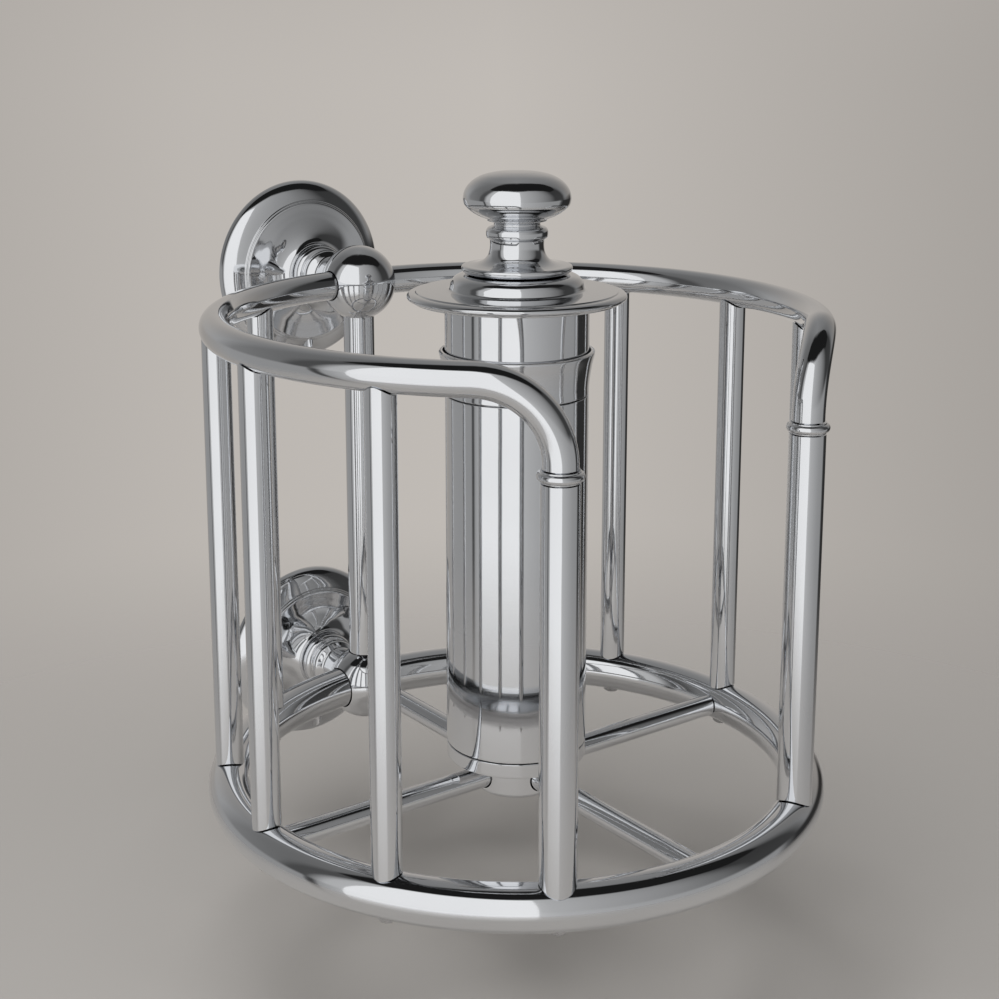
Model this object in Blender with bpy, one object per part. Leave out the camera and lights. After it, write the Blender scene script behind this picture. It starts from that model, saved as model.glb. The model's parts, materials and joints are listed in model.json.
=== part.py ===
"""Wall-hung cage holder for an upright toilet roll.

Metres, +Z up, +Y into the wall. The origin is the middle of the upper wall plate's back,
on the wall, level with the middle of the top rail. The open front of the cage faces -Y.
"""

import math

import bmesh
import bpy
from mathutils import Matrix, Vector

# Clearances and overruns
GAP = 0.0003
SLIDE_GAP = 0.0004
CUT_OVERRUN = 0.002
WELD = 0.000001

# Cage
CAGE_RADIUS = 0.080
CAGE_HEIGHT = 0.1285
RAIL_RADIUS = 0.00425
RING_RADIUS = 0.0060
POST_RADIUS = 0.0047
BAR_RADIUS = 0.00385
BEND_RADIUS = 0.020
RAIL_TAIL = 0.0005
SPIGOT_RADIUS = 0.0025
SPIGOT_DEPTH = 0.008
COLLAR_RADIUS = 0.0058
COLLAR_HEIGHT = 0.0028
POST_ANGLE = math.radians(30)
BAR_STEP = math.radians(30)
BARS_A_SIDE = 4

# Screws under the bottom ring
SCREW_RADIUS = 0.0016
SCREW_DEPTH = 0.010
SCREW_HEAD_RADIUS = 0.00275
SCREW_HEAD_HEIGHT = 0.0020
SCREW_SEAT_DEPTH = 0.0013

# Wall mounts
STANDOFF = 0.0360
BALL_RADIUS = 0.01135
BALL_WEB = 0.0010
ROSETTE_RADIUS = 0.0284
ROSETTE_HEIGHT = 0.0113
PLATE_RADIUS = 0.017
PLATE_THICKNESS = 0.0024
PLATE_HOLE_RADIUS = 0.0022
PLATE_SINK_RADIUS = 0.0042
PLATE_HOLE_OFFSET = 0.0125
BOSS_RADIUS = 0.0080
BOSS_HEIGHT = 0.0076
GRUB_RADIUS = 0.0012
GRUB_LENGTH = 0.0085
GRUB_SOCKET_RADIUS = 0.0008
GRUB_SOCKET_DEPTH = 0.0025
ARM_BEAD_RADIUS = 0.0090
ARM_RING_RADIUS = 0.0079
ARM_NECK_RADIUS = 0.0058
ARM_REAR_STUD_RADIUS = 0.0040
ARM_FRONT_STUD_RADIUS = 0.0035

# Cross under the roll
ROD_RADIUS = 0.0031
HUB_RADIUS = 0.0115
HUB_TOP = 0.0046
HUB_BOTTOM = 0.0052
HUB_SCREW_RADIUS = 0.0023
HUB_SCREW_DEPTH = 0.0080
HUB_SCREW_HEAD_RADIUS = 0.0045
HUB_SCREW_HEAD_HEIGHT = 0.0026
ROD_WEB = 0.0017

# Arbor that the roll drops over
TUBE_RADIUS = 0.0195
TUBE_WALL = 0.0012
FOOT_FLANGE = 0.0040
FOOT_SPIGOT = 0.0080
FOOT_BORE_FLOOR = 0.0022
CUFF_RADIUS = 0.0211
CUFF_BODY = 0.0085
CUFF_LIP = 0.0033
CUFF_LIP_WALL = 0.0011
CUFF_SPIGOT = 0.0100
CUFF_SPIGOT_WALL = 0.0012

# Cap that lifts out of the arbor
CAP_LEVEL = 0.0049
SKIRT_RADIUS = 0.0195
SKIRT_WALL = 0.0012
SKIRT_WEB = 0.0015
SKIRT_HEIGHT = 0.0161
DISC_RADIUS = 0.0295
DISC_HEIGHT = 0.0075
DISC_RECESS = 0.0010
KNOB_RADIUS = 0.0144
KNOB_HEIGHT = 0.0269
KNOB_SPIGOT_RADIUS = 0.0050
KNOB_SPIGOT_HEIGHT = 0.0030
GUIDE_COLUMN_RADIUS = 0.0060
GUIDE_FLANGE = 0.0080
GUIDE_DROP = 0.0168
GUIDE_SEAT_DEPTH = 0.0016
SEAL_RADIUS = 0.00095
TIE_RADIUS = 0.0019
TIE_GRIP = 0.0090
TIE_HEAD_RADIUS = 0.0036
TIE_HEAD_HEIGHT = 0.0024

# Outlines as shares of the sizes that they follow, each a radius share and a height share
KNOB_SHARES = (
    (0.38, 0.985), (0.70, 0.920), (0.92, 0.825), (1.00, 0.735), (0.93, 0.640), (0.74, 0.560),
    (0.51, 0.520), (0.435, 0.490), (0.435, 0.465), (0.55, 0.440), (0.575, 0.400), (0.54, 0.345),
    (0.51, 0.310), (0.52, 0.210), (0.60, 0.125), (0.80, 0.085), (1.02, 0.065), (1.03, 0.030),
    (0.98, 0.000),
)
DISC_SHARES = (
    (0.455, 1.000), (0.490, 0.970), (0.555, 0.860), (0.600, 0.680), (0.615, 0.520),
    (0.620, 0.440), (0.900, 0.385), (0.965, 0.360), (0.995, 0.270), (1.000, 0.180),
    (0.985, 0.070), (0.950, 0.000),
)
CUFF_SHARES = ((1.00, 0.965), (0.88, 0.900), (0.50, 0.700), (0.15, 0.400), (0.00, 0.120))
ROSETTE_SHARES = (
    (0.325, 1.000), (0.335, 0.940), (0.370, 0.850), (0.440, 0.750), (0.550, 0.675),
    (0.665, 0.635), (0.750, 0.620), (0.772, 0.590), (0.777, 0.440), (0.797, 0.410),
    (0.890, 0.290), (0.912, 0.262), (0.918, 0.190), (0.965, 0.160), (0.992, 0.105),
    (1.000, 0.000),
)
BEAD_SHARES = ((0.94, 0.00), (1.00, 0.12), (0.92, 0.25), (0.82, 0.27))
ARM_RING_SHARES = ((0.94, 0.30), (1.00, 0.40), (0.90, 0.52))
ARM_NECK_SHARE = 0.58
HEAD_SHARES = ((0.60, 0.95), (0.93, 0.55), (1.00, 0.00))
COLLAR_SHARES = ((0.86, 1.00), (1.00, 0.70), (1.00, 0.30), (0.86, 0.00))
GROOVE_SHARE = 0.55

# Facets round each kind of piece
RING_FACETS = 48
TUBE_SIDES = 10
ARBOR_FACETS = 24
MOUNT_FACETS = 20
ROD_FACETS = 12
BALL_ROWS = 8
SCREW_FACETS = 8
SEAL_SIDES = 6
RAIL_STEPS = 36
BEND_STEPS = 6

# Places that follow from the sizes above
CAGE_Y = -(STANDOFF + CAGE_RADIUS)
RING_LEVEL = -CAGE_HEIGHT
HUB_TOP_LEVEL = RING_LEVEL + HUB_TOP
FOOT_LEVEL = HUB_TOP_LEVEL + GAP
SHOULDER_LEVEL = CAP_LEVEL - SKIRT_HEIGHT - GAP
CUFF_LEVEL = SHOULDER_LEVEL - CUFF_BODY
TUBE_TOP_LEVEL = CUFF_LEVEL - GAP
TUBE_BOTTOM_LEVEL = FOOT_LEVEL + FOOT_FLANGE + GAP
TUBE_BORE = TUBE_RADIUS - TUBE_WALL
CUFF_BORE = TUBE_BORE - GAP - CUFF_SPIGOT_WALL
COLLAR_TOP = -(BEND_RADIUS + RAIL_TAIL + GAP)
POST_TOP = COLLAR_TOP - COLLAR_HEIGHT - GAP
SCREW_SEAT = RING_LEVEL - RING_RADIUS + SCREW_SEAT_DEPTH
SCREW_TIP = RING_LEVEL + RING_RADIUS + SCREW_DEPTH

CHROME = ((0.80, 0.80, 0.81), 1.0, 0.06)
STEEL = ((0.58, 0.58, 0.60), 1.0, 0.28)
BLACK_RUBBER = ((0.02, 0.02, 0.02), 0.0, 0.60)


def clear_scene():
    for old in list(bpy.data.objects):
        bpy.data.objects.remove(old, do_unlink=True)


def give_finish(piece, finish):
    """Its own Principled material, from a colour, a metallic value and a roughness."""
    colour, metallic, roughness = finish
    material = bpy.data.materials.new(piece.name + "_finish")
    material.use_nodes = True
    shader = material.node_tree.nodes["Principled BSDF"]
    shader.inputs["Base Color"].default_value = (*colour, 1.0)
    shader.inputs["Metallic"].default_value = metallic
    shader.inputs["Roughness"].default_value = roughness
    piece.data.materials.append(material)


def add_piece(name, mesh, finish=CHROME):
    """A named object for a mesh, smooth except at its sharp edges."""
    mesh.shade_smooth()
    mesh.set_sharp_from_angle(angle=math.radians(40))
    piece = bpy.data.objects.new(name, mesh)
    bpy.context.scene.collection.objects.link(piece)
    give_finish(piece, finish)
    return piece


def add_cutter(name, mesh):
    cutter = bpy.data.objects.new(name, mesh)
    bpy.context.scene.collection.objects.link(cutter)
    cutter.hide_render = True
    cutter.display_type = "WIRE"
    return cutter


def cut(piece, *cutters):
    for cutter in cutters:
        modifier = piece.modifiers.new("cut_" + cutter.name, "BOOLEAN")
        modifier.operation = "DIFFERENCE"
        modifier.object = cutter
    return piece


def turned_mesh(name, outline, facets):
    """A mesh turned about Z from (radius, height) points.

    An outline that starts on the axis also ends there. Any other is a closed loop.
    """
    shape = bmesh.new()
    corners = [shape.verts.new((radius, 0, height)) for radius, height in outline]
    links = list(zip(corners, corners[1:]))
    if outline[0][0] > 0:
        links.append((corners[-1], corners[0]))
    edges = [shape.edges.new(link) for link in links]
    bmesh.ops.spin(
        shape, geom=corners + edges, cent=(0, 0, 0), axis=(0, 0, 1), dvec=(0, 0, 0),
        angle=2 * math.pi, steps=facets, use_merge=True,
    )
    bmesh.ops.remove_doubles(shape, verts=shape.verts, dist=WELD)
    bmesh.ops.recalc_face_normals(shape, faces=shape.faces)
    mesh = bpy.data.meshes.new(name)
    shape.to_mesh(mesh)
    shape.free()
    return mesh


def rod_mesh(name, radius, low, high, facets=ROD_FACETS):
    return turned_mesh(name, ((0, low), (radius, low), (radius, high), (0, high)), facets)


def tube_mesh(name, points, radius, shares=None):
    """A round bar of the given radius along a path, closed at its ends."""
    curve = bpy.data.curves.new(name, "CURVE")
    curve.dimensions = "3D"
    curve.bevel_depth = radius
    curve.bevel_resolution = TUBE_SIDES // 2 - 2
    curve.use_fill_caps = True
    spline = curve.splines.new("POLY")
    spline.points.add(len(points) - 1)
    for index, point in enumerate(points):
        spline.points[index].co = (*point, 1.0)
        spline.points[index].radius = shares[index] if shares else 1.0
    guide = bpy.data.objects.new(name, curve)
    mesh = bpy.data.meshes.new_from_object(guide)
    bpy.data.objects.remove(guide, do_unlink=True)
    shape = bmesh.new()
    shape.from_mesh(mesh)
    bmesh.ops.remove_doubles(shape, verts=shape.verts, dist=WELD)
    bmesh.ops.recalc_face_normals(shape, faces=shape.faces)
    shape.to_mesh(mesh)
    shape.free()
    return mesh


def merged_mesh(name, placed):
    """One mesh from (mesh, matrix) pairs, for a cutter that makes many holes at once."""
    shape = bmesh.new()
    for mesh, matrix in placed:
        part = bmesh.new()
        part.from_mesh(mesh)
        part.transform(matrix)
        moved = bpy.data.meshes.new(name)
        part.to_mesh(moved)
        part.free()
        shape.from_mesh(moved)
        bpy.data.meshes.remove(moved)
    mesh = bpy.data.meshes.new(name)
    shape.to_mesh(mesh)
    shape.free()
    return mesh


def along(shares, radius, height, base=0.0):
    """Outline points from shares of a radius and of a height above a base."""
    return [(radius * across, base + height * up) for across, up in shares]


def cage_point(angle, level):
    """A point on the cage's circle. The angle starts at the open front and turns towards +X."""
    return Vector((CAGE_RADIUS * math.sin(angle), CAGE_Y - CAGE_RADIUS * math.cos(angle), level))


def rail_path():
    """The rail's centre line: up out of one front post, round the back, down into the other."""
    turn = BEND_RADIUS / CAGE_RADIUS
    bend = []
    for step in range(BEND_STEPS + 1):
        lean = math.pi / 2 * step / BEND_STEPS
        angle = POST_ANGLE + turn * (1 - math.cos(lean))
        bend.append((angle, BEND_RADIUS * (math.sin(lean) - 1)))
    start = POST_ANGLE + turn
    sweep = 2 * math.pi - 2 * start
    level_part = [(start + sweep * step / RAIL_STEPS, 0) for step in range(1, RAIL_STEPS)]
    mirrored = [(2 * math.pi - angle, level) for angle, level in reversed(bend)]
    return [cage_point(angle, level) for angle, level in bend + level_part + mirrored]


def rail_tails():
    """The straight ends below the bends: the rail's end, then the thin spigot in the post."""
    levels = (-BEND_RADIUS - RAIL_TAIL, COLLAR_TOP, POST_TOP - SPIGOT_DEPTH)
    right = [cage_point(POST_ANGLE, level) for level in levels]
    left = [cage_point(-POST_ANGLE, level) for level in levels]
    return right, left


def post_angles():
    return {"right": POST_ANGLE, "left": -POST_ANGLE}


def bar_angles():
    """Each thin bar's name and its angle, numbered from the front on either side."""
    angles = {}
    for side, sign in (("right", 1), ("left", -1)):
        for number in range(1, BARS_A_SIDE + 1):
            angles[f"{side}_bar_{number}"] = sign * (POST_ANGLE + number * BAR_STEP)
    return angles


def screw_outline(radius, tip, head_radius, head_height, seat):
    """A domed screw, head down: its seat is where the head's flat face bears."""
    head = [(head_radius * across, seat - head_height * up) for across, up in HEAD_SHARES]
    return [(0, seat - head_height), *head, (radius, seat), (radius, tip), (0, tip)]


def make_cutters():
    """The space that the rail, the ring, the screws and the rods need in their neighbours."""
    fat_rail = tube_mesh("rail_space", rail_path(), RAIL_RADIUS + GAP)
    fat_ring = ring_mesh("ring_space", RING_RADIUS + GAP)
    low = RING_LEVEL - BALL_RADIUS - CUT_OVERRUN
    hole = rod_mesh("screw_hole", SCREW_RADIUS + GAP, low, SCREW_TIP + CUT_OVERRUN, SCREW_FACETS)
    seat = rod_mesh("screw_sink", SCREW_HEAD_RADIUS + GAP, low, SCREW_SEAT, SCREW_FACETS)
    stations = [*bar_angles().values(), *post_angles().values()]
    spots = [Matrix.Translation(cage_point(angle, 0)) for angle in stations]
    back = [Matrix.Translation(cage_point(math.pi, 0))]
    return {
        "rail": add_cutter("rail_space", fat_rail),
        "ring": add_cutter("ring_space", fat_ring),
        "holes": add_cutter("screw_holes", merged_mesh("screw_holes", [(hole, m) for m in spots + back])),
        "seats": add_cutter("screw_seats", merged_mesh("screw_seats", [(seat, m) for m in spots])),
    }


def ring_mesh(name, radius):
    """The bottom ring's round bar, bent to a full circle about the cage's axis."""
    outline = []
    for side in range(TUBE_SIDES):
        turn = 2 * math.pi * side / TUBE_SIDES
        outline.append((CAGE_RADIUS + radius * math.cos(turn), radius * math.sin(turn)))
    mesh = turned_mesh(name, outline, RING_FACETS)
    mesh.transform(Matrix.Translation((0, CAGE_Y, RING_LEVEL)))
    return mesh


def make_rail():
    right, left = rail_tails()
    points = [*reversed(right), *rail_path(), *left]
    thin = SPIGOT_RADIUS / RAIL_RADIUS
    ends = [1.0, thin, thin]
    shares = [*reversed(ends), *[1.0] * len(rail_path()), *ends]
    add_piece("top_rail", tube_mesh("top_rail", points, RAIL_RADIUS, shares))


def make_collars():
    """The bead over each joint of rail and post."""
    bore = SPIGOT_RADIUS + GAP
    bead = along(COLLAR_SHARES, COLLAR_RADIUS, COLLAR_HEIGHT)
    mesh = turned_mesh("collar", [(bore, COLLAR_HEIGHT), *bead, (bore, 0)], ROD_FACETS)
    for side, angle in post_angles().items():
        collar = add_piece("collar_" + side, mesh.copy())
        collar.location = cage_point(angle, COLLAR_TOP - COLLAR_HEIGHT)


def make_front_posts(cutters):
    """Each post takes the rail's spigot in its top and is coped over the bottom ring."""
    bore = SPIGOT_RADIUS + GAP
    floor = POST_TOP - SPIGOT_DEPTH - GAP
    outline = ((0, floor), (bore, floor), (bore, POST_TOP), (POST_RADIUS, POST_TOP),
               (POST_RADIUS, RING_LEVEL), (0, RING_LEVEL))
    for side, angle in post_angles().items():
        post = add_piece("front_post_" + side, turned_mesh("front_post", outline, ROD_FACETS))
        stand(post, angle)
        cut(post, cutters["ring"], cutters["holes"])


def stand(bar, angle):
    """Places an upright bar on the cage's circle, with a flat facet towards the axis."""
    bar.location = cage_point(angle, 0)
    bar.rotation_euler.z = angle + math.pi / ROD_FACETS


def make_bars(cutters):
    """Thin bars, coped under the rail and over the ring."""
    for name, angle in bar_angles().items():
        bar = add_piece(name, rod_mesh(name, BAR_RADIUS, RING_LEVEL, 0))
        stand(bar, angle)
        cut(bar, cutters["rail"], cutters["ring"], cutters["holes"])


def make_ring(cutters):
    ring = add_piece("bottom_ring", ring_mesh("bottom_ring", RING_RADIUS))
    cut(ring, cutters["holes"], cutters["seats"])


def make_ring_screws():
    outline = screw_outline(SCREW_RADIUS, SCREW_TIP, SCREW_HEAD_RADIUS, SCREW_HEAD_HEIGHT,
                            SCREW_SEAT - GAP)
    stations = dict(bar_angles())
    stations.update({"front_post_" + side: angle for side, angle in post_angles().items()})
    for name, angle in stations.items():
        screw = add_piece(name + "_screw", turned_mesh("ring_screw", outline, SCREW_FACETS), STEEL)
        screw.location = cage_point(angle, 0)


def make_balls(cutters):
    """The ball at each mount is bored for the rail or ring, the back post and the arm's stud."""
    post_bore = POST_RADIUS + GAP
    upper_floor = -(RAIL_RADIUS + GAP + BALL_WEB)
    lower_floor = RING_RADIUS + GAP + BALL_WEB
    stud = rod_mesh("stud_bore", ARM_FRONT_STUD_RADIUS + GAP, 0, BALL_RADIUS + CUT_OVERRUN)
    stud.transform(Matrix.Rotation(-math.pi / 2, 4, "X"))
    mounts = {
        "upper": (0, rod_mesh("post_bore", post_bore, -BALL_RADIUS - CUT_OVERRUN, upper_floor)),
        "lower": (RING_LEVEL, rod_mesh("post_bore", post_bore, lower_floor, BALL_RADIUS + CUT_OVERRUN)),
    }
    for which, (level, bore) in mounts.items():
        shape = bmesh.new()
        bmesh.ops.create_uvsphere(shape, u_segments=MOUNT_FACETS, v_segments=BALL_ROWS,
                                  radius=BALL_RADIUS)
        mesh = bpy.data.meshes.new(which + "_ball")
        shape.to_mesh(mesh)
        shape.free()
        ball = add_piece(which + "_ball", mesh)
        ball.location = cage_point(math.pi, level)
        for name, drill in (("post", bore), ("stud", stud)):
            cutter = add_cutter(f"{which}_{name}_bore", drill)
            cutter.location = ball.location
            cut(ball, cutter)
        if which == "upper":
            cut(ball, cutters["rail"])
        else:
            cut(ball, cutters["ring"], cutters["holes"])


def make_back_post(cutters):
    """Stands in the lower ball and ends in the upper one."""
    top = -(RAIL_RADIUS + GAP + BALL_WEB + GAP)
    bottom = RING_LEVEL + RING_RADIUS + GAP + BALL_WEB + GAP
    post = add_piece("back_post", rod_mesh("back_post", POST_RADIUS, bottom, top))
    post.location = cage_point(math.pi, 0)
    cut(post, cutters["holes"])


def make_back_post_screw():
    """A headless screw up through the lower ball and the ring, sunk into the ball."""
    low = RING_LEVEL - RING_RADIUS - BALL_WEB
    socket = low + GRUB_SOCKET_DEPTH
    outline = ((0, socket), (GRUB_SOCKET_RADIUS, socket), (GRUB_SOCKET_RADIUS, low),
               (SCREW_RADIUS, low), (SCREW_RADIUS, SCREW_TIP), (0, SCREW_TIP))
    screw = add_piece("back_post_screw", turned_mesh("back_post_screw", outline, SCREW_FACETS), STEEL)
    screw.location = cage_point(math.pi, 0)


def face_room(piece, level):
    """Turns a piece made along +Z so that it stands out of the wall."""
    piece.rotation_euler = (math.pi / 2, 0, 0)
    piece.location = (0, 0, level)


def make_wall_plate(which, level):
    """The plate behind the rosette. Its boss takes the rosette's grub screw."""
    outline = ((0, 0), (PLATE_RADIUS, 0), (PLATE_RADIUS, PLATE_THICKNESS),
               (BOSS_RADIUS, PLATE_THICKNESS), (BOSS_RADIUS, BOSS_HEIGHT), (0, BOSS_HEIGHT))
    plate = add_piece(which + "_wall_plate", turned_mesh("wall_plate", outline, MOUNT_FACETS), STEEL)
    face_room(plate, level)
    drill = turned_mesh("plate_hole", (
        (0, -CUT_OVERRUN), (PLATE_HOLE_RADIUS, -CUT_OVERRUN), (PLATE_HOLE_RADIUS, 0),
        (PLATE_SINK_RADIUS, PLATE_THICKNESS), (PLATE_SINK_RADIUS, PLATE_THICKNESS + CUT_OVERRUN),
        (0, PLATE_THICKNESS + CUT_OVERRUN)), ROD_FACETS)
    spots = [Matrix.Translation((side * PLATE_HOLE_OFFSET, 0, 0)) for side in (-1, 1)]
    holes = add_cutter(which + "_plate_holes", merged_mesh("plate_holes", [(drill, m) for m in spots]))
    face_room(holes, level)
    cut(plate, holes)


def make_rosette(which, level):
    """The stepped, turned cover plate that hides the wall plate."""
    cavity = PLATE_RADIUS + GAP
    socket = BOSS_RADIUS + GAP
    stud = ARM_REAR_STUD_RADIUS + GAP
    face = along(ROSETTE_SHARES, ROSETTE_RADIUS, ROSETTE_HEIGHT)
    inside = [(cavity, 0), (cavity, PLATE_THICKNESS + GAP), (socket, PLATE_THICKNESS + GAP),
              (socket, BOSS_HEIGHT + GAP), (stud, BOSS_HEIGHT + GAP), (stud, ROSETTE_HEIGHT)]
    mesh = turned_mesh("rosette", face + inside, MOUNT_FACETS)
    mesh.transform(Matrix.Rotation(math.pi / MOUNT_FACETS, 4, "Z"))
    rosette = add_piece(which + "_rosette", mesh)
    face_room(rosette, level)
    middle = (PLATE_THICKNESS + BOSS_HEIGHT) / 2
    hole = rod_mesh("grub_hole", GRUB_RADIUS + GAP, BOSS_RADIUS - GAP, ROSETTE_RADIUS + CUT_OVERRUN,
                    SCREW_FACETS)
    drill = add_cutter(which + "_grub_hole", hole)
    drill.rotation_euler = (math.pi, 0, 0)
    drill.location = (0, -middle, level)
    cut(rosette, drill)
    make_grub_screw(which, middle, level)


def make_grub_screw(which, out, level):
    """Locks the rosette on its plate from below. Its hexagon socket faces down."""
    tip = BOSS_RADIUS + GAP
    end = tip + GRUB_LENGTH
    socket = end - GRUB_SOCKET_DEPTH
    outline = ((0, tip), (GRUB_RADIUS, tip), (GRUB_RADIUS, end), (GRUB_SOCKET_RADIUS, end),
               (GRUB_SOCKET_RADIUS, socket), (0, socket))
    screw = add_piece(which + "_rosette_screw", turned_mesh("grub", outline, SCREW_FACETS), STEEL)
    screw.rotation_euler = (math.pi, 0, 0)
    screw.location = (0, -out, level)


def make_arm(which, level, held_radius):
    """The beaded neck from rosette to ball. Its front stud ends behind the bar in the ball."""
    seat = BALL_RADIUS + GAP
    base = ROSETTE_HEIGHT + GAP
    neck_end = STANDOFF - math.sqrt(seat ** 2 - ARM_NECK_RADIUS ** 2)
    stud_start = STANDOFF - math.sqrt(seat ** 2 - ARM_FRONT_STUD_RADIUS ** 2)
    middle_radius = (ARM_NECK_RADIUS + ARM_FRONT_STUD_RADIUS) / 2
    middle = STANDOFF - math.sqrt(seat ** 2 - middle_radius ** 2)
    reach = neck_end - base
    rear = BOSS_HEIGHT + 2 * GAP
    front = STANDOFF - held_radius - 2 * GAP
    outline = [
        (0, rear), (ARM_REAR_STUD_RADIUS, rear), (ARM_REAR_STUD_RADIUS, base),
        *along(BEAD_SHARES, ARM_BEAD_RADIUS, reach, base),
        *along(ARM_RING_SHARES, ARM_RING_RADIUS, reach, base),
        (ARM_NECK_RADIUS, base + reach * ARM_NECK_SHARE), (ARM_NECK_RADIUS, neck_end),
        (middle_radius, middle), (ARM_FRONT_STUD_RADIUS, stud_start),
        (ARM_FRONT_STUD_RADIUS, front), (0, front),
    ]
    arm = add_piece(which + "_arm", turned_mesh("arm", outline, MOUNT_FACETS))
    face_room(arm, level)


def make_cross(cutters):
    """Four rods from the hub out to the ring, and the back one to the lower ball."""
    ball = add_cutter("ball_space", bpy.data.meshes.new("ball_space"))
    shape = bmesh.new()
    bmesh.ops.create_uvsphere(shape, u_segments=MOUNT_FACETS, v_segments=BALL_ROWS,
                              radius=BALL_RADIUS + GAP)
    shape.to_mesh(ball.data)
    shape.free()
    ball.location = cage_point(math.pi, RING_LEVEL)
    start = HUB_SCREW_RADIUS + GAP + ROD_WEB + GAP
    directions = {"front_rod": 0, "right_rod": math.pi / 2, "back_rod": math.pi,
                  "left_rod": -math.pi / 2}
    drill = rod_mesh("rod_bore", ROD_RADIUS + GAP, start - GAP, HUB_RADIUS + CUT_OVERRUN)
    bores = []
    for name, angle in directions.items():
        lay_down = Matrix.Rotation(angle, 4, "Z") @ Matrix.Rotation(math.pi / 2, 4, "X")
        place = Matrix.Translation((0, CAGE_Y, RING_LEVEL)) @ lay_down
        rod = add_piece(name, rod_mesh(name, ROD_RADIUS, start, CAGE_RADIUS))
        rod.matrix_world = place
        cut(rod, ball if name == "back_rod" else cutters["ring"])
        bores.append((drill, place))
    return add_cutter("rod_bores", merged_mesh("rod_bores", bores))


def make_hub(rod_bores):
    bore = HUB_SCREW_RADIUS + GAP
    outline = ((bore, HUB_TOP), (HUB_RADIUS - bore, HUB_TOP), (HUB_RADIUS, HUB_TOP - bore / 2),
               (HUB_RADIUS, -HUB_BOTTOM + bore / 2), (HUB_RADIUS - bore, -HUB_BOTTOM),
               (bore, -HUB_BOTTOM))
    hub = add_piece("hub", turned_mesh("hub", outline, MOUNT_FACETS))
    hub.location = (0, CAGE_Y, RING_LEVEL)
    cut(hub, rod_bores)
    seat = RING_LEVEL - HUB_BOTTOM - GAP
    tip = FOOT_LEVEL + HUB_SCREW_DEPTH
    screw = add_piece("hub_screw", turned_mesh("hub_screw", screw_outline(
        HUB_SCREW_RADIUS, tip, HUB_SCREW_HEAD_RADIUS, HUB_SCREW_HEAD_HEIGHT, seat), ROD_FACETS), STEEL)
    screw.location = (0, CAGE_Y, 0)


def make_arbor():
    """The foot on the hub, the plain tube, and the flared cuff in the tube's top."""
    bore = HUB_SCREW_RADIUS + GAP
    floor = FOOT_LEVEL + HUB_SCREW_DEPTH + GAP
    plug = TUBE_BORE - GAP
    foot_top = FOOT_LEVEL + FOOT_FLANGE + FOOT_SPIGOT
    bore_top = max(foot_top, floor + FOOT_BORE_FLOOR)
    foot = ((0, floor), (bore, floor), (bore, FOOT_LEVEL), (TUBE_RADIUS, FOOT_LEVEL),
            (TUBE_RADIUS, FOOT_LEVEL + FOOT_FLANGE), (plug, FOOT_LEVEL + FOOT_FLANGE),
            (plug, bore_top), (0, bore_top))
    tube = ((TUBE_RADIUS, TUBE_TOP_LEVEL), (TUBE_RADIUS, TUBE_BOTTOM_LEVEL),
            (TUBE_BORE, TUBE_BOTTOM_LEVEL), (TUBE_BORE, TUBE_TOP_LEVEL))
    pocket = SKIRT_RADIUS + GAP
    rim = SHOULDER_LEVEL + CUFF_LIP
    flare = [(TUBE_RADIUS + (CUFF_RADIUS - TUBE_RADIUS) * out, CUFF_LEVEL + (rim - CUFF_LEVEL) * up)
             for out, up in CUFF_SHARES]
    spigot_low = CUFF_LEVEL - CUFF_SPIGOT
    cuff = [
        (CUFF_RADIUS - CUFF_LIP_WALL / 2, rim), *flare, (TUBE_RADIUS, CUFF_LEVEL),
        (plug, CUFF_LEVEL), (plug, spigot_low), (CUFF_BORE, spigot_low),
        (CUFF_BORE, SHOULDER_LEVEL), (pocket, SHOULDER_LEVEL), (CUFF_RADIUS - CUFF_LIP_WALL, rim),
    ]
    for name, outline in (("arbor_foot", foot), ("arbor_tube", tube), ("arbor_cuff", cuff)):
        add_piece(name, turned_mesh(name, outline, ARBOR_FACETS)).location = (0, CAGE_Y, 0)


def make_cap():
    """The lift-out cap: knob, disc and skirt, tied to the guide by one long screw."""
    clear = TIE_RADIUS + GAP
    web_top = CAP_LEVEL + DISC_RECESS - GAP
    web_low = web_top - SKIRT_WEB
    skirt_low = CAP_LEVEL - SKIRT_HEIGHT
    skirt_bore = SKIRT_RADIUS - SKIRT_WALL
    skirt = ((clear, web_top), (SKIRT_RADIUS, web_top), (SKIRT_RADIUS, skirt_low),
             (skirt_bore, skirt_low), (skirt_bore, web_low), (clear, web_low))
    disc_top = CAP_LEVEL + DISC_HEIGHT
    socket = KNOB_SPIGOT_RADIUS + GAP
    spigot_low = disc_top + GAP - KNOB_SPIGOT_HEIGHT
    disc = [
        (socket, disc_top), *along(DISC_SHARES, DISC_RADIUS, DISC_HEIGHT, CAP_LEVEL),
        (SKIRT_RADIUS + GAP, CAP_LEVEL), (SKIRT_RADIUS + GAP, CAP_LEVEL + DISC_RECESS),
        (clear, CAP_LEVEL + DISC_RECESS), (clear, spigot_low - GAP), (socket, spigot_low - GAP),
    ]
    knob_base = disc_top + GAP
    tie_top = knob_base - KNOB_SPIGOT_HEIGHT + TIE_GRIP
    knob = [
        (0, knob_base + KNOB_HEIGHT), *along(KNOB_SHARES, KNOB_RADIUS, KNOB_HEIGHT, knob_base),
        (KNOB_SPIGOT_RADIUS, knob_base), (KNOB_SPIGOT_RADIUS, spigot_low), (clear, spigot_low),
        (clear, tie_top + GAP), (0, tie_top + GAP),
    ]
    for name, outline in (("cap_skirt", skirt), ("cap_disc", disc), ("cap_knob", knob)):
        add_piece(name, turned_mesh(name, outline, ARBOR_FACETS)).location = (0, CAGE_Y, 0)
    make_cap_guide(clear, web_low - GAP, tie_top)


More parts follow.
